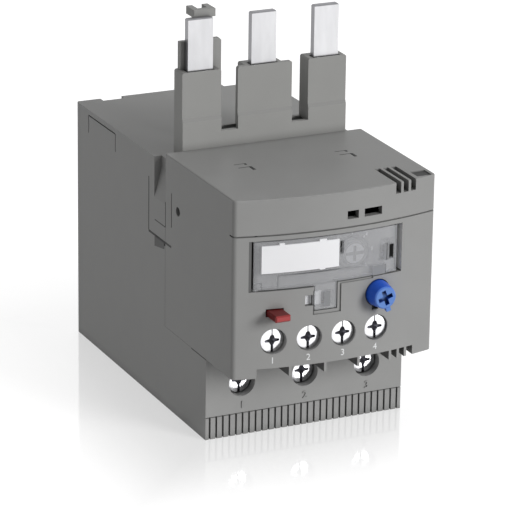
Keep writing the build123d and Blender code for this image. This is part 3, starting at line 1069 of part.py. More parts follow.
def reset_plunger():
    """The round plunger behind the reset knob, with the collar that the spring pushes."""
    collar_y = RESET_COLLAR_Y
    plunger = rod_y(RESET_X, RESET_Z, RESET_STEM_RADIUS, collar_y, SEAT_FRONT_Y + 1.2)
    plunger += rod_y(RESET_X, RESET_Z, RESET_BACK_RADIUS + BUTTON_GAP + COLLAR_LIP, collar_y, collar_y + COLLAR_THICK)
    plunger += rod_y(RESET_X, RESET_Z, 1.2, collar_y - 3.0, collar_y + 0.1)
    return plunger


def reset_knob():
    """The reset knob: a tapered cap with a cross recess and a pointer, turning on the plunger's neck."""
    collar_y = RESET_COLLAR_Y
    face_y = front_y(RESET_X) - RESET_PROTRUSION
    profile = make_face(Polyline((0, face_y), (RESET_FACE_RADIUS - 0.3, face_y), (RESET_FACE_RADIUS, face_y + 0.3),
                                 (RESET_BACK_RADIUS, face_y + RESET_PROTRUSION - 0.6),
                                 (RESET_BACK_RADIUS, collar_y - 0.1), (0, collar_y - 0.1), close=True))
    knob = revolve(profile, axis=Axis.Y)
    depth = 1.5
    knob -= block(around(0, 3.9), (face_y - 1, face_y + depth), around(0, 1.1))
    knob -= block(around(0, 1.1), (face_y - 1, face_y + depth), around(0, 3.9))
    pointer = block(around(0, 1.2), (face_y + 0.3, face_y + 1.5), (-RESET_BACK_RADIUS - 0.5, -RESET_FACE_RADIUS + 0.8))
    knob += pointer
    knob = Rot(0, -18, 0) * knob
    knob -= rod_y(0, 0, 1.2 + 0.06, collar_y - 3.1, collar_y + 1)
    return Pos(RESET_X, 0, RESET_Z) * knob


def button_spring(x, z, collar_back_y, stem_radius):
    return coil_spring(x, z, collar_back_y + SPRING_END_GAP, SEAT_FRONT_Y - SPRING_END_GAP,
                       stem_radius + 0.25 + SPRING_WIRE / 2, SPRING_WIRE, SPRING_TURNS)


def stop_collar_y():
    return front_y(STOP_X + STOP_WIDTH / 2 + COLLAR_LIP, BLOCK_WALL) + 1.2


def stop_button():
    """The rectangular stop button with its collar and round stem."""
    collar_y = stop_collar_y()
    face_y = front_y(STOP_X) - STOP_PROTRUSION
    cap = block(around(STOP_X, STOP_WIDTH), (face_y, collar_y + 0.1), around(STOP_Z, STOP_HEIGHT))
    cap = chamfer(cap.faces().sort_by(Axis.Y)[0].edges(), 0.35)
    cap = fillet(cap.edges().filter_by(Axis.Y), 0.3)
    collar_x = around(STOP_X, STOP_WIDTH + 2 * (BUTTON_GAP + COLLAR_LIP))
    collar_z = around(STOP_Z, STOP_HEIGHT + 2 * (BUTTON_GAP + COLLAR_LIP / 2))
    cap += block(collar_x, (collar_y, collar_y + COLLAR_THICK), collar_z)
    cap += rod_y(STOP_X, STOP_Z, STOP_STEM_RADIUS, collar_y, SEAT_FRONT_Y + 1.2)
    return cap


def test_slider():
    """The test slider: a small grip in its slot and a flange behind the wall."""
    xs = (SLIDER_LEFT_X, SLIDER_LEFT_X + SLIDER_WIDTH)
    grip_front = front_y(SLIDER_LEFT_X + SLIDER_WIDTH / 2, TAB_DEPTH) + 0.15
    grip = block(xs, (grip_front, SLIDER_FLANGE_Y + 0.5), around(SLIDER_Z, SLIDER_HEIGHT))
    grip = chamfer(grip.faces().sort_by(Axis.Y)[0].edges(), 0.15)
    flange = block(xs, (SLIDER_FLANGE_Y, SLIDER_FLANGE_Y + SLIDER_FLANGE_THICK),
                   around(SLIDER_Z, SLIDER_HEIGHT + 2 * SLIDER_FLANGE_LIP))
    return grip + flange


def trip_flag():
    """The flag behind its small window, with a leg that reaches back."""
    zs = around(SLIDER_Z, FLAG_WINDOW_HEIGHT + 2 * FLAG_HEIGHT_LAP)
    flag = block((FLAG_LEFT_X, FLAG_RIGHT_X), (flag_y(), flag_y() + FLAG_THICK), zs)
    flag += block((FLAG_LEFT_X, FLAG_LEFT_X + FLAG_LEG_WIDTH), (flag_y(), WINDOW_BACK_Y + FLAG_LEG_REACH), zs)
    return flag


def aux_terminal_screws():
    tip = TERMINAL_FRONT_Y + TERMINAL_THICK + 0.1
    screws = [terminal_screw(x, AUX_SCREW_Z, front_y(x) - AUX_HEAD_RISE, AUX_HEAD_RADIUS, AUX_HEAD_HEIGHT,
                             AUX_SHANK_RADIUS, tip) for x in AUX_SCREW_XS]
    return Compound(children=screws)


def aux_wire_clamps():
    """Square clamping plates, one under each auxiliary screw head."""
    clamps = []
    for x in AUX_SCREW_XS:
        front = front_y(x) - AUX_HEAD_RISE + AUX_HEAD_HEIGHT + 0.1
        plate = block(around(x, CLAMP_SIZE), (front, front + CLAMP_THICK), around(AUX_SCREW_Z, CLAMP_SIZE))
        plate -= rod_y(x, AUX_SCREW_Z, AUX_SHANK_RADIUS + 0.1, front - 1, front + CLAMP_THICK + 1)
        clamps.append(plate)
    return Compound(children=clamps)


def build_nodes():
    nodes = {
        "base_housing": base_housing(),
        "rear_cover": rear_cover(),
        "terminal_shroud": terminal_shroud(),
        "front_housing": front_housing(),
        "mechanism_frame": mechanism_frame(),
        "front_cover": front_cover(),
        "marking_plate": marking_plate(),
        "main_terminal_screws": main_terminal_screws(),
        "aux_terminal_screws": aux_terminal_screws(),
        "aux_wire_clamps": aux_wire_clamps(),
        "trip_slide": trip_slide(),
        "setting_dial": setting_dial(),
        "setting_cam": setting_cam(),
        "setting_bracket": setting_bracket(),
        "lever_pivot_pin": lever_pivot_pin(),
        "trip_lever": trip_lever(),
        "compensation_strip": compensation_strip(),
        "contact_carriage": contact_carriage(),
        "bridge_springs": bridge_springs(),
        "reset_knob": reset_knob(),
        "reset_plunger": reset_plunger(),
        "stop_button": stop_button(),
        "test_slider": test_slider(),
        "trip_flag": trip_flag(),
    }
    for i, x in enumerate(POLE_XS, start=1):
        nodes[f"busbar_{i}"] = busbar(x)
        nodes[f"load_strap_{i}"] = load_strap(x)
        nodes[f"box_lug_{i}"] = box_lug(x)
        nodes[f"bimetal_strip_{i}"] = bimetal_strip(x)
        nodes[f"heater_{i}"] = heater(x)
    for i, x in enumerate(AUX_SCREW_XS):
        kind = "opening" if i < 2 else "closing"
        strip_z = NC_STRIP_Z if i < 2 else NO_STRIP_Z
        nodes[f"{kind}_terminal_{i % 2 + 1}"] = contact_terminal(x, strip_z, contact_up=i >= 2)
    nodes["opening_bridge"] = contact_bridge(NC_CENTRE_X, AUX_SCREW_XS[0], AUX_SCREW_XS[1], NC_BRIDGE_TOP_Z - BRIDGE_THICK, True)
    nodes["closing_bridge"] = contact_bridge(NO_CENTRE_X, AUX_SCREW_XS[2], AUX_SCREW_XS[3], NO_BRIDGE_Z, False)
    nodes["reset_spring"] = button_spring(RESET_X, RESET_Z, RESET_COLLAR_Y + COLLAR_THICK, RESET_STEM_RADIUS)
    nodes["stop_spring"] = button_spring(STOP_X, STOP_Z, stop_collar_y() + COLLAR_THICK, STOP_STEM_RADIUS)
    return nodes


os.makedirs("parts", exist_ok=True)
for name, shape in build_nodes().items():
    export_step(Pos(0, -BASE_DEPTH / 2, 0) * shape, f"parts/{name}.step")
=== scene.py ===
import bmesh
import bpy
import json
import math
from mathutils import Matrix, Vector

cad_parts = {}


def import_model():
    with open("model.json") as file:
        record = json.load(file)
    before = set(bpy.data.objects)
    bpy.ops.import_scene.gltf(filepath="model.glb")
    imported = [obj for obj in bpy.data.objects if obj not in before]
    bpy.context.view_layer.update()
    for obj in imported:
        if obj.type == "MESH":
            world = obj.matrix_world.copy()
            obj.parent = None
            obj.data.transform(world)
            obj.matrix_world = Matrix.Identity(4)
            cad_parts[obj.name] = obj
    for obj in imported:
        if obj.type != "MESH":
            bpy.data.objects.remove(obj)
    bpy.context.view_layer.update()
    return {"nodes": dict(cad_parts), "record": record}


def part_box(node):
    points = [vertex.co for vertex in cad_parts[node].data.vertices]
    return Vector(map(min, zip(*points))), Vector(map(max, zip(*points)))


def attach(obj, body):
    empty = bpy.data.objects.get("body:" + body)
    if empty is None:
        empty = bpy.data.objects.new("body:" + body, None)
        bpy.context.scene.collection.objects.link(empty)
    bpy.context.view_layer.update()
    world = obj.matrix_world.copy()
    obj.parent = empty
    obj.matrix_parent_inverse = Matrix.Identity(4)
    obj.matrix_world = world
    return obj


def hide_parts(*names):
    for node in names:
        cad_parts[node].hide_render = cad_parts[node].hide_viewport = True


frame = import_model()

# Sizes are in mm. Those that follow a solid are read from its box.

MM = 0.001
X, Y, Z = range(3)


def span(node, axis):
    """The lowest and highest place of a solid along one axis."""
    low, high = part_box(node)
    return low[axis] / MM, high[axis] / MM


def middle(node, axis):
    return sum(span(node, axis)) / 2


# housing, and the insets of the faces that run parallel to its curved front
HALF_WIDTH = span("base_housing", X)[1]
FOOT_FRONT_Y = span("base_housing", Y)[0]
BACK_Y = span("rear_cover", Y)[1]
BLOCK_FRONT_Y = span("front_housing", Y)[0]
BLOCK_TOP_Z = span("front_housing", Z)[1]
BLOCK_BULGE = 3.75
RIM_RADIUS = (HALF_WIDTH ** 2 + BLOCK_BULGE ** 2) / (2 * BLOCK_BULGE)
RIM_CENTRE_Y = BLOCK_FRONT_Y + RIM_RADIUS
COVER_FACE = 0.15
COVER_FOOT = 0.6
TAB_FLOOR = 1.1
WINDOW_FLOOR = 3.2

# terminals and their numbers
POLE_XS = [middle(f"busbar_{i}", X) for i in (1, 2, 3)]
POLE_SCREW_Z = middle("main_terminal_screws", Z)
POLE_NUMBER_Z = 8.2
POLE_NUMBER_HEIGHT = 1.9
POLE_NUMBER_RISE = 0.25
AUX_TERMINALS = ("opening_terminal_1", "opening_terminal_2", "closing_terminal_1", "closing_terminal_2")
AUX_XS = [middle(node, X) for node in AUX_TERMINALS]
AUX_SCREW_Z = middle("aux_terminal_screws", Z)
AUX_NUMBER_Z = 26.3
AUX_NUMBER_HEIGHT = 1.7
PRINT_THICK = 0.03
CAPITAL_SHARE = 0.72

# screws: depths lie behind the head's face, and each ring of the rim has a depth and an inset
MAIN_HEAD_DEPTH = 2.1
AUX_HEAD_DEPTH = 0.9
SLOT_HALF = 0.36
SLOT_HALF_TOP = 0.15
RECESS_DEPTH = 0.95
RIM_RINGS = ((0.0, 0.22), (0.05, 0.1), (0.2, 0.0), (RECESS_DEPTH, 0.0))
TIP_LENGTH = 0.4
TIP_INSET = 0.35
AUX_HOLE_RADIUS = 3.65
AUX_HOLE_RIM_RADIUS = 3.32
AUX_HOLE_RIM_SHIFT = 0.22
AUX_HOLE_RIM_DEPTHS = (0.02, 2.2)

# lines on the side walls and the top: first and last y from the front of the foot, then z or x
TONGUE_SLITS = ((25.35, 25.65, 48.5, 55.2), (25.65, 32.2, 48.35, 48.6),
                (21.9, 36.1, 44.05, 44.6), (35.9, 36.3, 44.6, 58.9))
TONGUE_NOTCH = ((26.1, 44.2), (32.3, 44.2), (32.3, 41.4), (26.1, 42.4))
FOOT_SEAM = (0.0, 9.0, 21.5, 21.75)
TOP_HOOK_XS = (-12.3, 15.7)
TOP_HOOK = ((-0.3, 0.3, 5.1, 7.9), (-3.3, -0.3, 7.65, 7.85),
            (-0.7, -0.1, 9.5, 10.6), (-3.3, -0.7, 10.4, 10.6))
TOP_POCKET = (22.3, 26.3, -15.2, -11.35)
TOP_POCKET_DROP = 0.3

# moulding round the busbars, with y from the front of the foot
BAR_FRONT = span("busbar_1", Y)[0] - FOOT_FRONT_Y
BAR_SIDE = -3.43
BAR_GAP_SIDES = (-3.8, 3.75)
BAR_GAP_FRONT = 0.55
BAR_GAP_BACK = 2.05
TOWER_HALF = span("terminal_shroud", X)[1] - POLE_XS[2]
TOWER_FRONT = span("terminal_shroud", Y)[0] - FOOT_FRONT_Y
TOWER_DEPTH = 5.4
TOWER_TOP_Z = 88.2
WEB_THICK = 1.2
WEB_TOP_Z = 72.15
TROUGH_BACK = TOWER_FRONT + TOWER_DEPTH - WEB_THICK
TROUGH_DROP = 0.5
RIB_DROP = 1.1
RIB_HEIGHT = 1.05
RIB_CHAMFER = 0.1

# window, tab and catch: x and z, or for walls the depths behind the curved front and z
WINDOW_RIGHT_X = 17.3
WINDOW_WALL = (0.15, 3.1, 45.0, 57.3)
HINGE_LEDGE = (-23.75, -22.98, 44.4, 57.35)
HINGE_LEDGE_DEPTHS = (0.3, 3.1)
CATCH_GAPS = ((15.15, 16.7, 47.5, 52.9), (12.2, 15.15, 47.5, 48.15))
TAB_LEFT_X = -7.2
TAB_EDGE = (TAB_LEFT_X - 0.16, TAB_LEFT_X, 37.15, 43.4)
FLAG_WALL = (0.1, 0.9, 39.65, 42.35)
PAD_EDGE = (-2.15, -1.4, 38.7, 42.7)
PAD_BACK_Y = FOOT_FRONT_Y - 16.2
SLIDER_WALL_X = -2.2
SLIDER_WALL_ZS = (39.1, 42.9)
SLIDER_FLANGE_THICK = 1.0
SLIDER_GAP = (span("test_slider", X)[1], SLIDER_WALL_X, 39.3, 42.7)

# clear cover, drawn on its outer face
COVER_LEFT_X = span("front_cover", X)[0]
COVER_EDGE = (0.2, 1.3, 44.95, 57.1)
STEP_LINES = ((-16.6, -16.4, 45.3, 48.1), (-16.6, 8.0, 48.1, 48.25),
              (-20.8, -20.6, 45.3, 46.5), (-22.4, -20.6, 46.5, 46.65))
FOOT_SQUARE = ((9.02, 10.9, 44.9, 47.38), (10.9, 12.78, 44.9, 47.38))
FOOT_SQUARE_THICK = 0.3
LATCH_EDGE = (12.85, 13.6, 48.4, 52.6)
LATCH_BORDER = (12.0, 12.85, 48.4, 52.6)
LATCH_RIGHT_X = 14.9
LATCH_WALL = (0.2, 1.3, 48.65, 52.35)
TAB_SQUARE = (-4.45, -2.75, 38.85, 42.75)
LINE_THICK = 0.02

# ribs under the front block
RIB_LEFT_XS = (-13.35, -4.125, 5.1, 14.3, 16.675, 18.925)
RIB_BACK_Y = -1.5
RIB_ZS = (21.85, 23.95)

# setting dial, its ring and its scale
DIAL_X = middle("setting_dial", X)
DIAL_Z = middle("setting_dial", Z)
DIAL_FACE_Y = span("setting_dial", Y)[0]
CAP_FACE_Y = -59.5
CAP_RADIUS = 2.95
CAP_ROUND = 0.1
EDGE_RADII = (2.6, 2.85)
RING_RADII = (4.05, 4.35)
RING_GAP = 0.5
CROSS_HALF = 0.42
CROSS_REACH_X = 2.5
CROSS_REACH_Z = 1.95
SCALE_ANGLES = (225, 135, 90, 45, 0, -45)
TICK_RADII = (4.5, 5.0)
TICK_HALF = 0.1
NUMBER_RADIUS_X = 5.7
NUMBER_RADIUS_Z = 5.65
SCALE_NUMBER_HEIGHT = 0.95

# floor and lights
FLOOR_HALF = 6.0
FLOOR_GLOW = 0.78
FLOOR_POLISH = 0.34
POLISH_REACH = 50.0
AMBIENT = 0.35
BACKDROP = 1.0
KEY_ENERGY = 2.3
KEY_ANGLE = 24
KEY_FROM = (0.49, -0.8, 0.36)

# the photograph's camera: pixels, degrees, and its place
PICTURE_PIXELS = 512
FOCAL_PIXELS = 3360.455
SENSOR = 36.0
AZIMUTH, ELEVATION, ROLL = -25.355, 19.446, 0.807
EYE = (-350.594, -752.248, 324.634)


def front(x, inset=0.0):
    """The y of the curved front, or of a face parallel to it further in."""
    return RIM_CENTRE_Y - math.sqrt((RIM_RADIUS - inset) ** 2 - x * x)


# colours and shader nodes

def linear(value):
    value = value / 255.0
    return value / 12.92 if value <= 0.04045 else ((value + 0.055) / 1.055) ** 2.4


def rgb(r, g, b):
    """A colour for a shader, from the values that it has on a screen, 0 to 255."""
    return (linear(r), linear(g), linear(b), 1.0)


def shades(colour, spread):
    """A darker and a lighter version of a colour."""
    return rgb(*[max(0, c - spread) for c in colour]), rgb(*[min(255, c + spread) for c in colour])


def new_material(name):
    material = bpy.data.materials.new(name)
    material.use_nodes = True
    tree = material.node_tree
    return material, tree, tree.nodes["Principled BSDF"]


def noise(tree, scale, detail=2.0, stretch=(1, 1, 1)):
    """Noise with its scale per metre."""
    coords = tree.nodes.new("ShaderNodeTexCoord")
    mapping = tree.nodes.new("ShaderNodeMapping")
    mapping.inputs["Scale"].default_value = stretch
    texture = tree.nodes.new("ShaderNodeTexNoise")
    texture.inputs["Scale"].default_value = scale
    texture.inputs["Detail"].default_value = detail
    tree.links.new(coords.outputs["Object"], mapping.inputs["Vector"])
    tree.links.new(mapping.outputs["Vector"], texture.inputs["Vector"])
    return texture.outputs["Fac"]


def maths(tree, operation, *values):
    """The result of a maths node; each value is a number or a socket."""
    node = tree.nodes.new("ShaderNodeMath")
    node.operation = operation
    for socket, value in zip(node.inputs, values):
        if isinstance(value, float):
            socket.default_value = value
        else:
            tree.links.new(value, socket)
    return node.outputs[0]


def map_range(tree, factor, start, end, low, high, kind="LINEAR"):
    """Turns start to end of the factor into low to high, and holds what lies beyond."""
    node = tree.nodes.new("ShaderNodeMapRange")
    node.interpolation_type = kind
    node.inputs["From Min"].default_value = start
    node.inputs["From Max"].default_value = end
    node.inputs["To Min"].default_value = low
    node.inputs["To Max"].default_value = high
    tree.links.new(factor, node.inputs["Value"])
    return node.outputs["Result"]


def separate(tree, vector):
    """The x, y and z sockets of a vector."""
    split = tree.nodes.new("ShaderNodeSeparateXYZ")
    tree.links.new(vector, split.inputs["Vector"])
    return split.outputs


def normal(tree, axis):
    """How far the surface faces along x, y or z."""
    coords = tree.nodes.new("ShaderNodeTexCoord")
    return separate(tree, coords.outputs["Normal"])[axis]


def colour_mix(tree, factor, colours, socket):
    """Clouds of a dark and a light colour."""
    dark, light = colours
    ramp = tree.nodes.new("ShaderNodeValToRGB")
    ramp.color_ramp.elements[0].position = 0.3
    ramp.color_ramp.elements[1].position = 0.7
    ramp.color_ramp.elements[0].color = dark
    ramp.color_ramp.elements[1].color = light
    tree.links.new(factor, ramp.inputs["Fac"])
    tree.links.new(ramp.outputs["Color"], socket)


def roughness(tree, shader, factor, smooth, dull):
    tree.links.new(map_range(tree, factor, 0, 1, smooth, dull), shader.inputs["Roughness"])


def bump(tree, shader, factor, depth, strength=0.5):
    """Relief of a depth in mm."""
    node = tree.nodes.new("ShaderNodeBump")
    node.inputs["Strength"].default_value = strength
    node.inputs["Distance"].default_value = depth * MM
    tree.links.new(factor, node.inputs["Height"])
    tree.links.new(node.outputs["Normal"], shader.inputs["Normal"])


def rgba_mix(tree, blend="MIX"):
    """A colour mix node's factor, its two colour inputs and its colour output."""
    mix = tree.nodes.new("ShaderNodeMix")
    mix.data_type = "RGBA"
    mix.blend_type = blend
    a, b = [i for i in mix.inputs if i.type == "RGBA"]
    result = [o for o in mix.outputs if o.type == "RGBA"][0]
    factor = [i for i in mix.inputs if i.name == "Factor"][0]
    return factor, a, b, result


def two_tone(tree, shader, factor, cloud, first, second):
    """The first pair of colours where the factor is 0, and the second where it is 1."""
    mix, a, b, result = rgba_mix(tree)
    tree.links.new(factor, mix)
    colour_mix(tree, cloud, first, a)
    colour_mix(tree, cloud, second, b)
    tree.links.new(result, shader.inputs["Base Color"])


def crease(tree, shader, reach, darkest=0.5):
    """Painted shade that darkens corners and narrow holes, within a reach in mm."""
    hollow = tree.nodes.new("ShaderNodeAmbientOcclusion")
    hollow.samples = 8
    hollow.inputs["Distance"].default_value = reach * MM
    factor, a, b, result = rgba_mix(tree, "MULTIPLY")
    factor.default_value = 1.0
    colour = shader.inputs["Base Color"]
    tree.links.new(colour.links[0].from_socket, a)
    tree.links.new(map_range(tree, hollow.outputs["AO"], 0.25, 0.85, darkest, 1), b)
    tree.links.new(result, colour)


def tint_slopes(material, low, high, shade):
    """Painted shade on faces whose normal leans up between two values, so a short slope stands out less."""
    tree = material.node_tree
    colour = tree.nodes["Principled BSDF"].inputs["Base Color"]
    up = normal(tree, Z)
    above = maths(tree, "GREATER_THAN", up, low)
    below = maths(tree, "LESS_THAN", up, high)
    factor, a, b, result = rgba_mix(tree, "MULTIPLY")
    b.default_value = (shade, shade, shade, 1)
    tree.links.new(maths(tree, "MULTIPLY", above, below), factor)
    tree.links.new(colour.links[0].from_socket, a)
    tree.links.new(result, colour)


# materials

def plastic(name, colour, spread=3, rough=(0.42, 0.54), specular=0.35, corner_shade_reach=None):
    """Moulded plastic with a fine grain, faint clouds and, where asked for, painted shade in its corners."""
    material, tree, shader = new_material(name)
    cloud = noise(tree, 45, 3)
    colour_mix(tree, cloud, shades(colour, spread), shader.inputs["Base Color"])
    if corner_shade_reach:
        crease(tree, shader, corner_shade_reach)
    roughness(tree, shader, cloud, *rough)
    shader.inputs["Specular IOR Level"].default_value = specular
    bump(tree, shader, noise(tree, 2600), 0.02)
    return material


def button_plastic(name, side, face, specular):
    """Smooth coloured plastic with a painted highlight: paler on its front face than on its sides."""
    material, tree, shader = new_material(name)
    cloud = noise(tree, 60, 3)
    facing = map_range(tree, normal(tree, Y), -0.35, -0.95, 0, 1)
    two_tone(tree, shader, facing, cloud, shades(side, 4), shades(face, 4))
    crease(tree, shader, 2.5, 0.35)
    roughness(tree, shader, cloud, 0.26, 0.36)
    shader.inputs["Specular IOR Level"].default_value = specular
    bump(tree, shader, noise(tree, 1800), 0.01, 0.3)
    return material


def metal(name, dark, light, rough, stretch=(1, 1, 1), scale=300):
    """Bare metal with clouds of two tones."""
    material, tree, shader = new_material(name)
    cloud = noise(tree, scale, 3, stretch)
    shader.inputs["Metallic"].default_value = 1.0
    colour_mix(tree, cloud, (rgb(*dark), rgb(*light)), shader.inputs["Base Color"])
    roughness(tree, shader, cloud, *rough)
    bump(tree, shader, cloud, 0.01, 0.3)
    return material


def blade_metal(name, face, edge):
    """Tinned sheet with painted shade: bright on its front and back, darker on its edges and its top."""
    material, tree, shader = new_material(name)
    cloud = noise(tree, 500, 3, (1, 1, 0.3))
    facing = map_range(tree, maths(tree, "ABSOLUTE", normal(tree, Y)), 0.85, 0.98, 0, 1)
    two_tone(tree, shader, facing, cloud, shades(edge, 4), shades(face, 4))
    shader.inputs["Metallic"].default_value = 1.0
    roughness(tree, shader, cloud, 0.34, 0.42)
    bump(tree, shader, cloud, 0.004, 0.3)
    return material


def clear_plastic(name):
    """Thin clear plastic that lets most of what lies behind it through."""
    material, tree, shader = new_material(name)
    cloud = noise(tree, 60)
    colour_mix(tree, cloud, shades((215, 216, 219), 3), shader.inputs["Base Color"])
    roughness(tree, shader, cloud, 0.08, 0.16)
    shader.inputs["Alpha"].default_value = 0.3
    shader.inputs["IOR"].default_value = 1.49
    return material


# painted shade in the corners of the body and the shroud
body_plastic = plastic("body_plastic", (148, 148, 147), specular=0.2, corner_shade_reach=3.5)
shroud_plastic = plastic("shroud_plastic", (147, 147, 145), specular=0.2, corner_shade_reach=3.5)
# painted shade on the shroud's short slopes
tint_slopes(shroud_plastic, 0.2, 0.7, 0.74)
groove_shade = plastic("groove_shade", (62, 62, 62), rough=(0.6, 0.7))
recess_shade = plastic("recess_shade", (98, 98, 98), 4, (0.6, 0.7))
deep_shade = plastic("deep_shade", (24, 24, 24), rough=(0.7, 0.8))
# a pale sheet for painted light on a wall that lies in shade
painted_light_plastic = plastic("painted_light_plastic", (240, 240, 239))
# grey sheets on the cover: painted shade, and a frosted square
frost_and_shade = plastic("frost_and_shade", (132, 133, 135))
frame_plastic = plastic("frame_plastic", (62, 63, 64))
white_print = plastic("white_print", (228, 229, 230), rough=(0.35, 0.45))
label_plastic = plastic("label_plastic", (238, 238, 240), 2, (0.3, 0.4))
dial_plastic = plastic("dial_plastic", (158, 159, 161), rough=(0.35, 0.45))
slider_plastic = plastic("slider_plastic", (222, 223, 226))
ivory_plastic = plastic("ivory_plastic", (205, 200, 186), 4)
# the stop and the reset knob: a painted highlight on their front faces
red_plastic = button_plastic("red_plastic", (110, 1, 2), (165, 66, 67), 0.3)
blue_plastic = button_plastic("blue_plastic", (12, 88, 212), (94, 133, 202), 0.35)
# tin with painted shade on its edges and its top
tin = blade_metal("tin", (192, 192, 194), (138, 138, 141))
zinc = metal("zinc", (226, 226, 230), (242, 242, 244), (0.12, 0.24), scale=500)
# dark steel: painted shade on the floor of each screw recess
recess_floor_shade = metal("recess_floor_shade", (30, 30, 34), (52, 52, 56), (0.3, 0.45), scale=700)
brass = metal("brass", (196, 160, 92), (214, 180, 112), (0.25, 0.35))
bimetal = metal("bimetal", (168, 164, 158), (188, 184, 178), (0.3, 0.4), (1, 1, 0.1), 600)
heater_metal = metal("heater_metal", (122, 112, 104), (150, 138, 126), (0.4, 0.55))
clear = clear_plastic("clear")

BY_SLOT = {
    "base_grey": body_plastic, "shroud_grey": shroud_plastic, "frame_grey": frame_plastic,
    "tinned_copper": tin, "steel": zinc, "brass": brass, "bimetal": bimetal, "heater_wire": heater_metal,
    "mechanism_white": ivory_plastic, "slider_white": slider_plastic, "dial_grey": dial_plastic,
    "cover_clear": clear, "label_white": label_plastic, "reset_blue": blue_plastic,
    "plunger_grey": frame_plastic, "stop_red": red_plastic,
}
slot_of = {s["node"]: s["material_slot"] for s in frame["record"]["subparts"]}
for name, node in frame["nodes"].items():
    node.data.materials.clear()
    node.data.materials.append(BY_SLOT[slot_of[name]])


# outlines and meshes

def rectangle(u0, u1, v0, v1):
    return [(u0, v0), (u1, v0), (u1, v1), (u0, v1)]


def rectangles(sizes):
    return [rectangle(*size) for size in sizes]


def strip(u0, u1, v0, v1, steps=4):
    """A rectangle with points along its length, so that it can follow a curve."""
    us = [u0 + (u1 - u0) * i / steps for i in range(steps + 1)]
    return [(u, v0) for u in us] + [(u, v1) for u in reversed(us)]


def arc(cx, cy, radius, first, last, steps):
    """Points on an arc, with angles in degrees."""
    angles = [math.radians(first + (last - first) * i / steps) for i in range(steps + 1)]
    return [(cx + radius * math.cos(t), cy + radius * math.sin(t)) for t in angles]


def circle(cx, cy, radius, points):
    """A closed loop, whose last point isn't its first."""
    return arc(cx, cy, radius, 0, 360 - 360 / points, points - 1)


def band(cx, cy, inner, outer, steps=64):
    """A flat ring as a chain of small quads."""
    outside = arc(cx, cy, outer, 0, 360, steps)
    inside = arc(cx, cy, inner, 0, 360, steps)
    return [[inside[i], outside[i], outside[i + 1], inside[i + 1]] for i in range(steps)]


def loft(bm, layers, cyclic=False):
    """Faces between closed loops of points, each loop with as many points as the next."""
    loops = [[bm.verts.new(Vector(p) * MM) for p in layer] for layer in layers]
    pairs = list(zip(loops, loops[1:]))
    if cyclic:
        pairs.append((loops[-1], loops[0]))
    for low, high in pairs:
        for i in range(len(low)):
            j = (i + 1) % len(low)
            bm.faces.new((low[i], low[j], high[j], high[i]))
    if not cyclic:
        bm.faces.new(list(reversed(loops[0])))
        bm.faces.new(loops[-1])


def mesh_piece(name, mesh, material, body):
    piece = bpy.data.objects.new(name, mesh)
    bpy.context.scene.collection.objects.link(piece)
    mesh.materials.append(material)
    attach(piece, body)
    return piece


def finish_mesh(name, bm, material, body="relay_body", smooth=False):
    bmesh.ops.recalc_face_normals(bm, faces=bm.faces)
    mesh = bpy.data.meshes.new(name)
    bm.to_mesh(mesh)
    bm.free()
    piece = mesh_piece(name, mesh, material, body)
    if smooth:
        mesh.polygons.foreach_set("use_smooth", [True] * len(mesh.polygons))
        mesh.set_sharp_from_angle(angle=math.radians(35))
    return piece


def lofted(name, layers, material, body="relay_body", cyclic=False, smooth=False):
    """One loft as a piece of its own."""
    bm = bmesh.new()
    loft(bm, layers, cyclic)
    finish_mesh(name, bm, material, body, smooth)


def patches(name, outlines, place, material, body="relay_body", thick=PRINT_THICK):
    """Thin flat shapes in one mesh; place turns u, v and a height above the surface into x, y, z."""
    bm = bmesh.new()
    for outline in outlines:
        loft(bm, [[place(u, v, w) for u, v in outline] for w in (0.0, thick)])
    finish_mesh(name, bm, material, body)


def cover_patches(name, outlines, place, material, thick=LINE_THICK):
    """Patches that swing with the clear cover."""
    patches(name, outlines, place, material, "front_cover", thick)


def wall_sheet(x, near, far, z0, z1):
    """A rectangle on a wall at x, between two depths behind the curved front."""
    return [rectangle(front(x) + near, front(x) + far, z0, z1)]


# places for patches

def on_side(side):
    """Lays y, measured from the front of the foot, and z on the left (-1) or right (1) wall."""
    return lambda u, v, w: (side * (HALF_WIDTH + w), FOOT_FRONT_Y + u, v)


def on_top(height):
    """Lays x and y, measured from the front of the foot, on a level face."""
    return lambda u, v, w: (u, FOOT_FRONT_Y + v, height + w)


def on_plane(y):
    """Lays x and z on an upright plane that faces the front."""
    return lambda u, v, w: (u, y - w, v)


def on_front(inset=0.0, lift=0.0):
    """Lays x and z on the curved front, or on a face parallel to it."""
    return lambda u, v, w: (u, front(u, inset) - lift - w, v)


def on_wall(x):
    """Lays y and z on a wall that faces to the left."""
    return lambda u, v, w: (x - w, u, v)


# printed and moulded numbers

def number(name, digit, x, z, height, surface, material, thick=PRINT_THICK):
    """A number upright on the front with its middle at x and z; surface gives the y under a point."""
    curve = bpy.data.curves.new(name, "FONT")
    curve.body = str(digit)
    curve.size = height / CAPITAL_SHARE
    curve.align_x = "CENTER"
    curve.extrude = thick / 2
    helper = bpy.data.objects.new(name + "_helper", curve)
    bpy.context.scene.collection.objects.link(helper)
    bpy.context.view_layer.update()
    mesh = bpy.data.meshes.new_from_object(helper.evaluated_get(bpy.context.evaluated_depsgraph_get()))
    bpy.data.objects.remove(helper)
    for v in mesh.vertices:
        px = x + v.co.x
        pz = z - height / 2 + v.co.y
        py = surface(px) - (v.co.z + thick / 2)
        v.co = Vector((px, py, pz)) * MM
    mesh.flip_normals()
    mesh.update()
    mesh_piece(name, mesh, material, "relay_body")


def terminal_numbers():
    for i, x in enumerate(AUX_XS, start=1):
        number(f"aux_number_{i}", i, x, AUX_NUMBER_Z, AUX_NUMBER_HEIGHT, front, white_print)
    for i, x in enumerate(POLE_XS, start=1):
        number(f"pole_number_{i}", i, x, POLE_NUMBER_Z, POLE_NUMBER_HEIGHT, lambda px: FOOT_FRONT_Y,
               body_plastic, POLE_NUMBER_RISE)


# terminal screws with a slot, a cross and a rounded rim

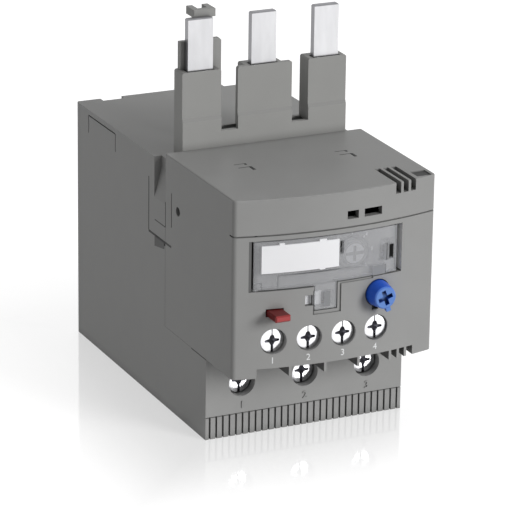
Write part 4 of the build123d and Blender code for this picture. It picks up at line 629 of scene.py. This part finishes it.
def half_head(radius, side):
    """The outline of one half of a screw head, with half of the slot and one arm of the cross."""
    top, bottom = (math.degrees(math.acos(half / radius)) for half in (SLOT_HALF_TOP, SLOT_HALF))
    rim = arc(0, 0, radius, top, -bottom, 36)
    recess = [(SLOT_HALF, -1.15), (0.8, -0.42), (1.85, -0.3), (2.05, 0.0),
              (1.85, 0.3), (0.8, 0.5), (0.5, 1.3), (SLOT_HALF_TOP, 1.5)]
    return [(side * u, v) for u, v in rim + recess]


def screws(name, node, spots, radius, thick, shank, length):
    """Screws in one mesh, each with its head's front at one of the x, y, z spots."""
    points = 48
    bm = bmesh.new()
    for x, y, z in spots:
        for side in (-1, 1):
            rims = [(half_head(radius - inset, side), depth) for depth, inset in RIM_RINGS]
            loft(bm, [[(x + u, y + depth, z + v) for u, v in rim] for rim, depth in rims])
        profile = ((RECESS_DEPTH, radius), (thick, radius), (thick, shank),
                   (length - TIP_LENGTH, shank), (length, shank - TIP_INSET))
        loft(bm, [[(u, y + depth, v) for u, v in circle(x, z, r, points)] for depth, r in profile])
    # the floor of each recess gets painted shade
    for face in bm.faces:
        off_floor = [abs(face.calc_center_median().y / MM - y - RECESS_DEPTH) for x, y, z in spots]
        if len(face.verts) == points and min(off_floor) < 0.01:
            face.material_index = 1
    piece = finish_mesh(name, bm, zinc, smooth=True)
    piece.data.materials.append(recess_floor_shade)
    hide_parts(node)


def terminal_screws():
    aux_spots = [(x + AUX_HOLE_RIM_SHIFT, front(x) + AUX_HEAD_DEPTH, AUX_SCREW_Z) for x in AUX_XS]
    main_spots = [(x, FOOT_FRONT_Y + MAIN_HEAD_DEPTH, POLE_SCREW_Z) for x in POLE_XS]
    screws("aux_screw_heads", "aux_terminal_screws", aux_spots,
           radius=3.2, thick=1.4, shank=1.6, length=6.9)
    screws("main_screw_heads", "main_terminal_screws", main_spots,
           radius=3.35, thick=1.5, shank=2.4, length=5.9)


def aux_hole_rims():
    outer = circle(0, 0, AUX_HOLE_RADIUS + 0.01, 48)
    inner = circle(AUX_HOLE_RIM_SHIFT, 0, AUX_HOLE_RIM_RADIUS, 48)
    near, far = AUX_HOLE_RIM_DEPTHS
    for i, x in enumerate(AUX_XS, start=1):
        rings = [[(x + u, front(x + u) + depth, AUX_SCREW_Z + v) for u, v in ring]
                 for ring, depth in ((outer, near), (inner, near), (inner, far), (outer, far))]
        lofted(f"aux_hole_rim_{i}", rings, body_plastic, cyclic=True, smooth=True)


# grooves, snap tongues and hollows, darkened with sheets of painted shade

def side_lines():
    for side, word in ((-1, "left"), (1, "right")):
        patches(f"tongue_slits_{word}", rectangles(TONGUE_SLITS), on_side(side), groove_shade)
        patches(f"notch_{word}", [TONGUE_NOTCH], on_side(side), recess_shade)
        patches(f"seam_{word}", [rectangle(*FOOT_SEAM)], on_side(side), groove_shade)


def top_lines():
    for i, x in enumerate(TOP_HOOK_XS, start=1):
        hook = [rectangle(x + left, x + right, near, far) for left, right, near, far in TOP_HOOK]
        patches(f"top_hooks_{i}", hook, on_top(BLOCK_TOP_Z), groove_shade)


def busbar_gaps():
    left, right = BAR_GAP_SIDES
    for i, x in enumerate(POLE_XS, start=1):
        gap = [rectangle(x + left, x + right, BAR_FRONT - BAR_GAP_FRONT, BAR_FRONT),
               rectangle(x + left, x + BAR_SIDE, BAR_FRONT, BAR_FRONT + BAR_GAP_BACK)]
        patches(f"busbar_gap_{i}", gap, on_top(TOWER_TOP_Z), deep_shade)


def troughs():
    """A sheet of painted shade on the floor between two towers, and the rib behind it."""
    for i, (left, right) in enumerate(zip(POLE_XS, POLE_XS[1:]), start=1):
        x0, x1 = left + TOWER_HALF, right - TOWER_HALF
        trough = rectangle(x0, x1, TOWER_FRONT + WEB_THICK, TROUGH_BACK)
        patches(f"trough_{i}", [trough], on_top(WEB_TOP_Z - TROUGH_DROP), deep_shade)
        edge = RIB_HEIGHT - RIB_CHAMFER
        rib = [(x0, 0.0), (x1, 0.0), (x1, edge), (x1 - RIB_CHAMFER, RIB_HEIGHT),
               (x0 + RIB_CHAMFER, RIB_HEIGHT), (x0, edge)]
        layers = [[(u, FOOT_FRONT_Y + y, WEB_TOP_Z - RIB_DROP + v) for u, v in rib]
                  for y in (TROUGH_BACK, TROUGH_BACK + WEB_THICK)]
        lofted(f"trough_rib_{i}", layers, shroud_plastic)


def pockets():
    top = on_top(BLOCK_TOP_Z - TOP_POCKET_DROP)
    patches("top_pocket", [rectangle(*TOP_POCKET)], top, groove_shade)
    patches("latch_pocket", rectangles(CATCH_GAPS), on_front(WINDOW_FLOOR, 0.02), deep_shade)


# walls inside the openings, with painted light on some and painted shade on others

def opening_walls():
    # painted light on the window's right wall, which lies in shade
    patches("window_wall", wall_sheet(WINDOW_RIGHT_X, *WINDOW_WALL), on_wall(WINDOW_RIGHT_X), painted_light_plastic)
    # painted light on the tab's left wall, in the slider's colour
    patches("flag_wall", wall_sheet(TAB_LEFT_X, *FLAG_WALL), on_wall(TAB_LEFT_X), slider_plastic)
    slider_wall = rectangle(front(SLIDER_WALL_X, TAB_FLOOR) + 0.05, PAD_BACK_Y, *SLIDER_WALL_ZS)
    patches("slider_wall", [slider_wall], on_wall(SLIDER_WALL_X), groove_shade)
    near, far = HINGE_LEDGE_DEPTHS
    patches("hinge_ledge", [rectangle(*HINGE_LEDGE)], on_front(lift=-far), recess_shade, thick=far - near)


# lines and squares of the clear cover: painted shade at its edges, steps, latch and tab, and a frosted square
# at its foot

def cover_lines():
    edge = wall_sheet(COVER_LEFT_X, *COVER_EDGE)
    cover_patches("cover_edge_line", edge, on_wall(COVER_LEFT_X), deep_shade)
    cover_patches("cover_step_lines", [strip(*line) for line in STEP_LINES], on_front(COVER_FACE), frost_and_shade)
    foot = rectangles(FOOT_SQUARE)
    cover_patches("cover_square", foot, on_front(COVER_FOOT), frost_and_shade, FOOT_SQUARE_THICK)
    cover_patches("latch_edge", [rectangle(*LATCH_EDGE)], on_front(COVER_FACE), groove_shade)
    cover_patches("latch_border", [rectangle(*LATCH_BORDER)], on_front(COVER_FACE), frost_and_shade)
    latch_wall = wall_sheet(LATCH_RIGHT_X, *LATCH_WALL)
    cover_patches("latch_wall", latch_wall, on_wall(LATCH_RIGHT_X - LINE_THICK), groove_shade)
    # painted shade of the slot behind the tab, laid on the cover
    cover_patches("cover_tab_square", [rectangle(*TAB_SQUARE)], on_front(COVER_FACE), frost_and_shade)


def front_lines():
    """The edge of the tab's recess, and the shaded sides of the ribs under the block."""
    patches("tab_edge_line", [rectangle(*TAB_EDGE)], on_front(), groove_shade)
    for i, x in enumerate(RIB_LEFT_XS, start=1):
        side = rectangle(front(x) + 0.1, RIB_BACK_Y, *RIB_ZS)
        patches(f"rib_shade_{i}", [side], on_wall(x), recess_shade)


# the setting dial with its ring and its scale, and the test slider

def turned(name, profile, material, body="relay_body", cyclic=False):
    """A shape turned about the dial's axis, from pairs of y and radius."""
    layers = [[(u, y, v) for u, v in circle(DIAL_X, DIAL_Z, r, 72)] for y, r in profile]
    lofted(name, layers, material, body, cyclic, smooth=True)


def dial():
    cap = ((DIAL_FACE_Y, CAP_RADIUS), (CAP_FACE_Y + CAP_ROUND, CAP_RADIUS),
           (CAP_FACE_Y, CAP_RADIUS - CAP_ROUND))
    turned("dial_cap", cap, dial_plastic, "setting_dial")
    arms = ((-CROSS_REACH_X, CROSS_REACH_X, -CROSS_HALF, CROSS_HALF),
            (-CROSS_HALF, CROSS_HALF, CROSS_HALF, CROSS_REACH_Z),
            (-CROSS_HALF, CROSS_HALF, -CROSS_REACH_Z, -CROSS_HALF))
    cross = [rectangle(DIAL_X + u0, DIAL_X + u1, DIAL_Z + v0, DIAL_Z + v1) for u0, u1, v0, v1 in arms]
    edge = band(DIAL_X, DIAL_Z, *EDGE_RADII)
    for name, outlines in (("dial_cross", cross), ("dial_edge", edge)):
        patches(name, outlines, on_plane(CAP_FACE_Y), groove_shade, "setting_dial", LINE_THICK)
    inner, outer = RING_RADII
    near, far = CAP_FACE_Y + CAP_ROUND, front(DIAL_X, WINDOW_FLOOR) - RING_GAP
    turned("dial_ring", ((far, outer), (near, outer), (near, inner), (far, inner)), groove_shade, cyclic=True)


def slider_shades():
    flange_y = span("test_slider", Y)[1] - SLIDER_FLANGE_THICK
    patches("slider_shade", [rectangle(*SLIDER_GAP)], on_plane(flange_y), groove_shade,
            "test_slider")
    patches("pad_shade", [rectangle(*PAD_EDGE)], on_front(TAB_FLOOR), groove_shade)


def scale():
    directions = [(math.cos(math.radians(angle)), math.sin(math.radians(angle))) for angle in SCALE_ANGLES]
    tick = rectangle(*TICK_RADII, -TICK_HALF, TICK_HALF)
    ticks = [[(DIAL_X + u * r - v * w, DIAL_Z + v * r + u * w) for r, w in tick] for u, v in directions]
    patches("scale_ticks", ticks, on_front(WINDOW_FLOOR), white_print)
    for i, (u, v) in enumerate(directions, start=1):
        number(f"scale_number_{i}", i, DIAL_X + NUMBER_RADIUS_X * u, DIAL_Z + NUMBER_RADIUS_Z * v,
               SCALE_NUMBER_HEIGHT, lambda px: front(px, WINDOW_FLOOR), white_print)


# floor, light and camera

def seen_ray(tree):
    """One for rays that show the background: from the camera, in gloss or through clear plastic."""
    paths = tree.nodes.new("ShaderNodeLightPath").outputs
    first = maths(tree, "MAXIMUM", paths["Is Camera Ray"], paths["Is Glossy Ray"])
    return maths(tree, "MAXIMUM", first, paths["Is Transmission Ray"])


def near_object(tree, most, reach):
    """A value that falls from most beside the relay's footprint to nothing at reach."""
    coords = tree.nodes.new("ShaderNodeTexCoord")
    size = tree.nodes.new("ShaderNodeVectorMath")
    size.operation = "ABSOLUTE"
    away = tree.nodes.new("ShaderNodeVectorMath")
    away.operation = "SUBTRACT"
    away.inputs[1].default_value = (HALF_WIDTH * MM, BACK_Y * MM, 0)
    tree.links.new(coords.outputs["Object"], size.inputs[0])
    tree.links.new(size.outputs[0], away.inputs[0])
    sides = separate(tree, away.outputs[0])
    return map_range(tree, maths(tree, "MAXIMUM", sides[X], sides[Y]), 0, reach, most, 0, "SMOOTHSTEP")


def floor():
    """A pale floor that glows where it is seen, with a faint polish beside the relay."""
    mesh = bpy.data.meshes.new("floor")
    corners = rectangle(-FLOOR_HALF, FLOOR_HALF, -FLOOR_HALF, FLOOR_HALF)
    mesh.from_pydata([(x, y, 0) for x, y in corners], [], [(0, 1, 2, 3)])
    piece = bpy.data.objects.new("floor", mesh)
    bpy.context.scene.collection.objects.link(piece)
    material, tree, shader = new_material("floor_paint")
    greys = ((0.49, 0.49, 0.49, 1), (0.51, 0.51, 0.51, 1))
    colour_mix(tree, noise(tree, 3, 1), greys, shader.inputs["Base Color"])
    shader.inputs["Roughness"].default_value = 0.6
    glow = tree.nodes.new("ShaderNodeEmission")
    tree.links.new(maths(tree, "MULTIPLY", seen_ray(tree), FLOOR_GLOW), glow.inputs["Strength"])
    total = tree.nodes.new("ShaderNodeAddShader")
    tree.links.new(shader.outputs[0], total.inputs[0])
    tree.links.new(glow.outputs[0], total.inputs[1])
    polish = tree.nodes.new("ShaderNodeBsdfGlossy")
    polish.inputs["Roughness"].default_value = 0.06
    blend = tree.nodes.new("ShaderNodeMixShader")
    tree.links.new(near_object(tree, FLOOR_POLISH, POLISH_REACH * MM), blend.inputs[0])
    tree.links.new(total.outputs[0], blend.inputs[1])
    tree.links.new(polish.outputs[0], blend.inputs[2])
    tree.links.new(blend.outputs[0], tree.nodes["Material Output"].inputs["Surface"])
    mesh.materials.append(material)


def white_light(tree, strength):
    node = tree.nodes.new("ShaderNodeBackground")
    node.inputs["Strength"].default_value = strength
    node.inputs["Color"].default_value = (1, 1, 1, 1)
    return node.outputs[0]


def world():
    """Soft light from all round, in front of a white backdrop."""
    studio = bpy.data.worlds.new("studio")
    bpy.context.scene.world = studio
    studio.use_nodes = True
    tree = studio.node_tree
    tree.nodes.clear()
    mix = tree.nodes.new("ShaderNodeMixShader")
    out = tree.nodes.new("ShaderNodeOutputWorld")
    tree.links.new(seen_ray(tree), mix.inputs[0])
    tree.links.new(white_light(tree, AMBIENT), mix.inputs[1])
    tree.links.new(white_light(tree, BACKDROP), mix.inputs[2])
    tree.links.new(mix.outputs[0], out.inputs["Surface"])


def key_light():
    """A broad lamp from the right front."""
    lamp = bpy.data.lights.new("key", "SUN")
    lamp.energy = KEY_ENERGY
    lamp.angle = math.radians(KEY_ANGLE)
    key = bpy.data.objects.new("key", lamp)
    key.rotation_mode = "QUATERNION"
    key.rotation_quaternion = Vector(KEY_FROM).to_track_quat("Z", "Y")
    bpy.context.scene.collection.objects.link(key)


def camera():
    """The photograph's view: a long lens from the left front, above the relay."""
    azimuth, elevation, roll = (math.radians(v) for v in (AZIMUTH, ELEVATION, ROLL))
    level = math.cos(elevation)
    back = Vector((math.sin(azimuth) * level, -math.cos(azimuth) * level, math.sin(elevation)))
    right = Vector((math.cos(azimuth), math.sin(azimuth), 0))
    up = back.cross(right)
    right_rolled = right * math.cos(roll) + up * math.sin(roll)
    up_rolled = up * math.cos(roll) - right * math.sin(roll)
    data = bpy.data.cameras.new("camera")
    data.sensor_width = SENSOR
    data.lens = FOCAL_PIXELS / PICTURE_PIXELS * SENSOR
    data.clip_start = 0.05
    data.clip_end = 50
    eye = bpy.data.objects.new("camera", data)
    matrix = Matrix((right_rolled, up_rolled, back)).transposed().to_4x4()
    matrix.translation = Vector(EYE) * MM
    eye.matrix_world = matrix
    bpy.context.scene.collection.objects.link(eye)
    bpy.context.scene.camera = eye


terminal_numbers()
terminal_screws()
aux_hole_rims()
side_lines()
top_lines()
busbar_gaps()
troughs()
pockets()
opening_walls()
cover_lines()
front_lines()
dial()
slider_shades()
scale()
floor()
world()
key_light()
camera()
bpy.context.scene.view_settings.view_transform = "Standard"
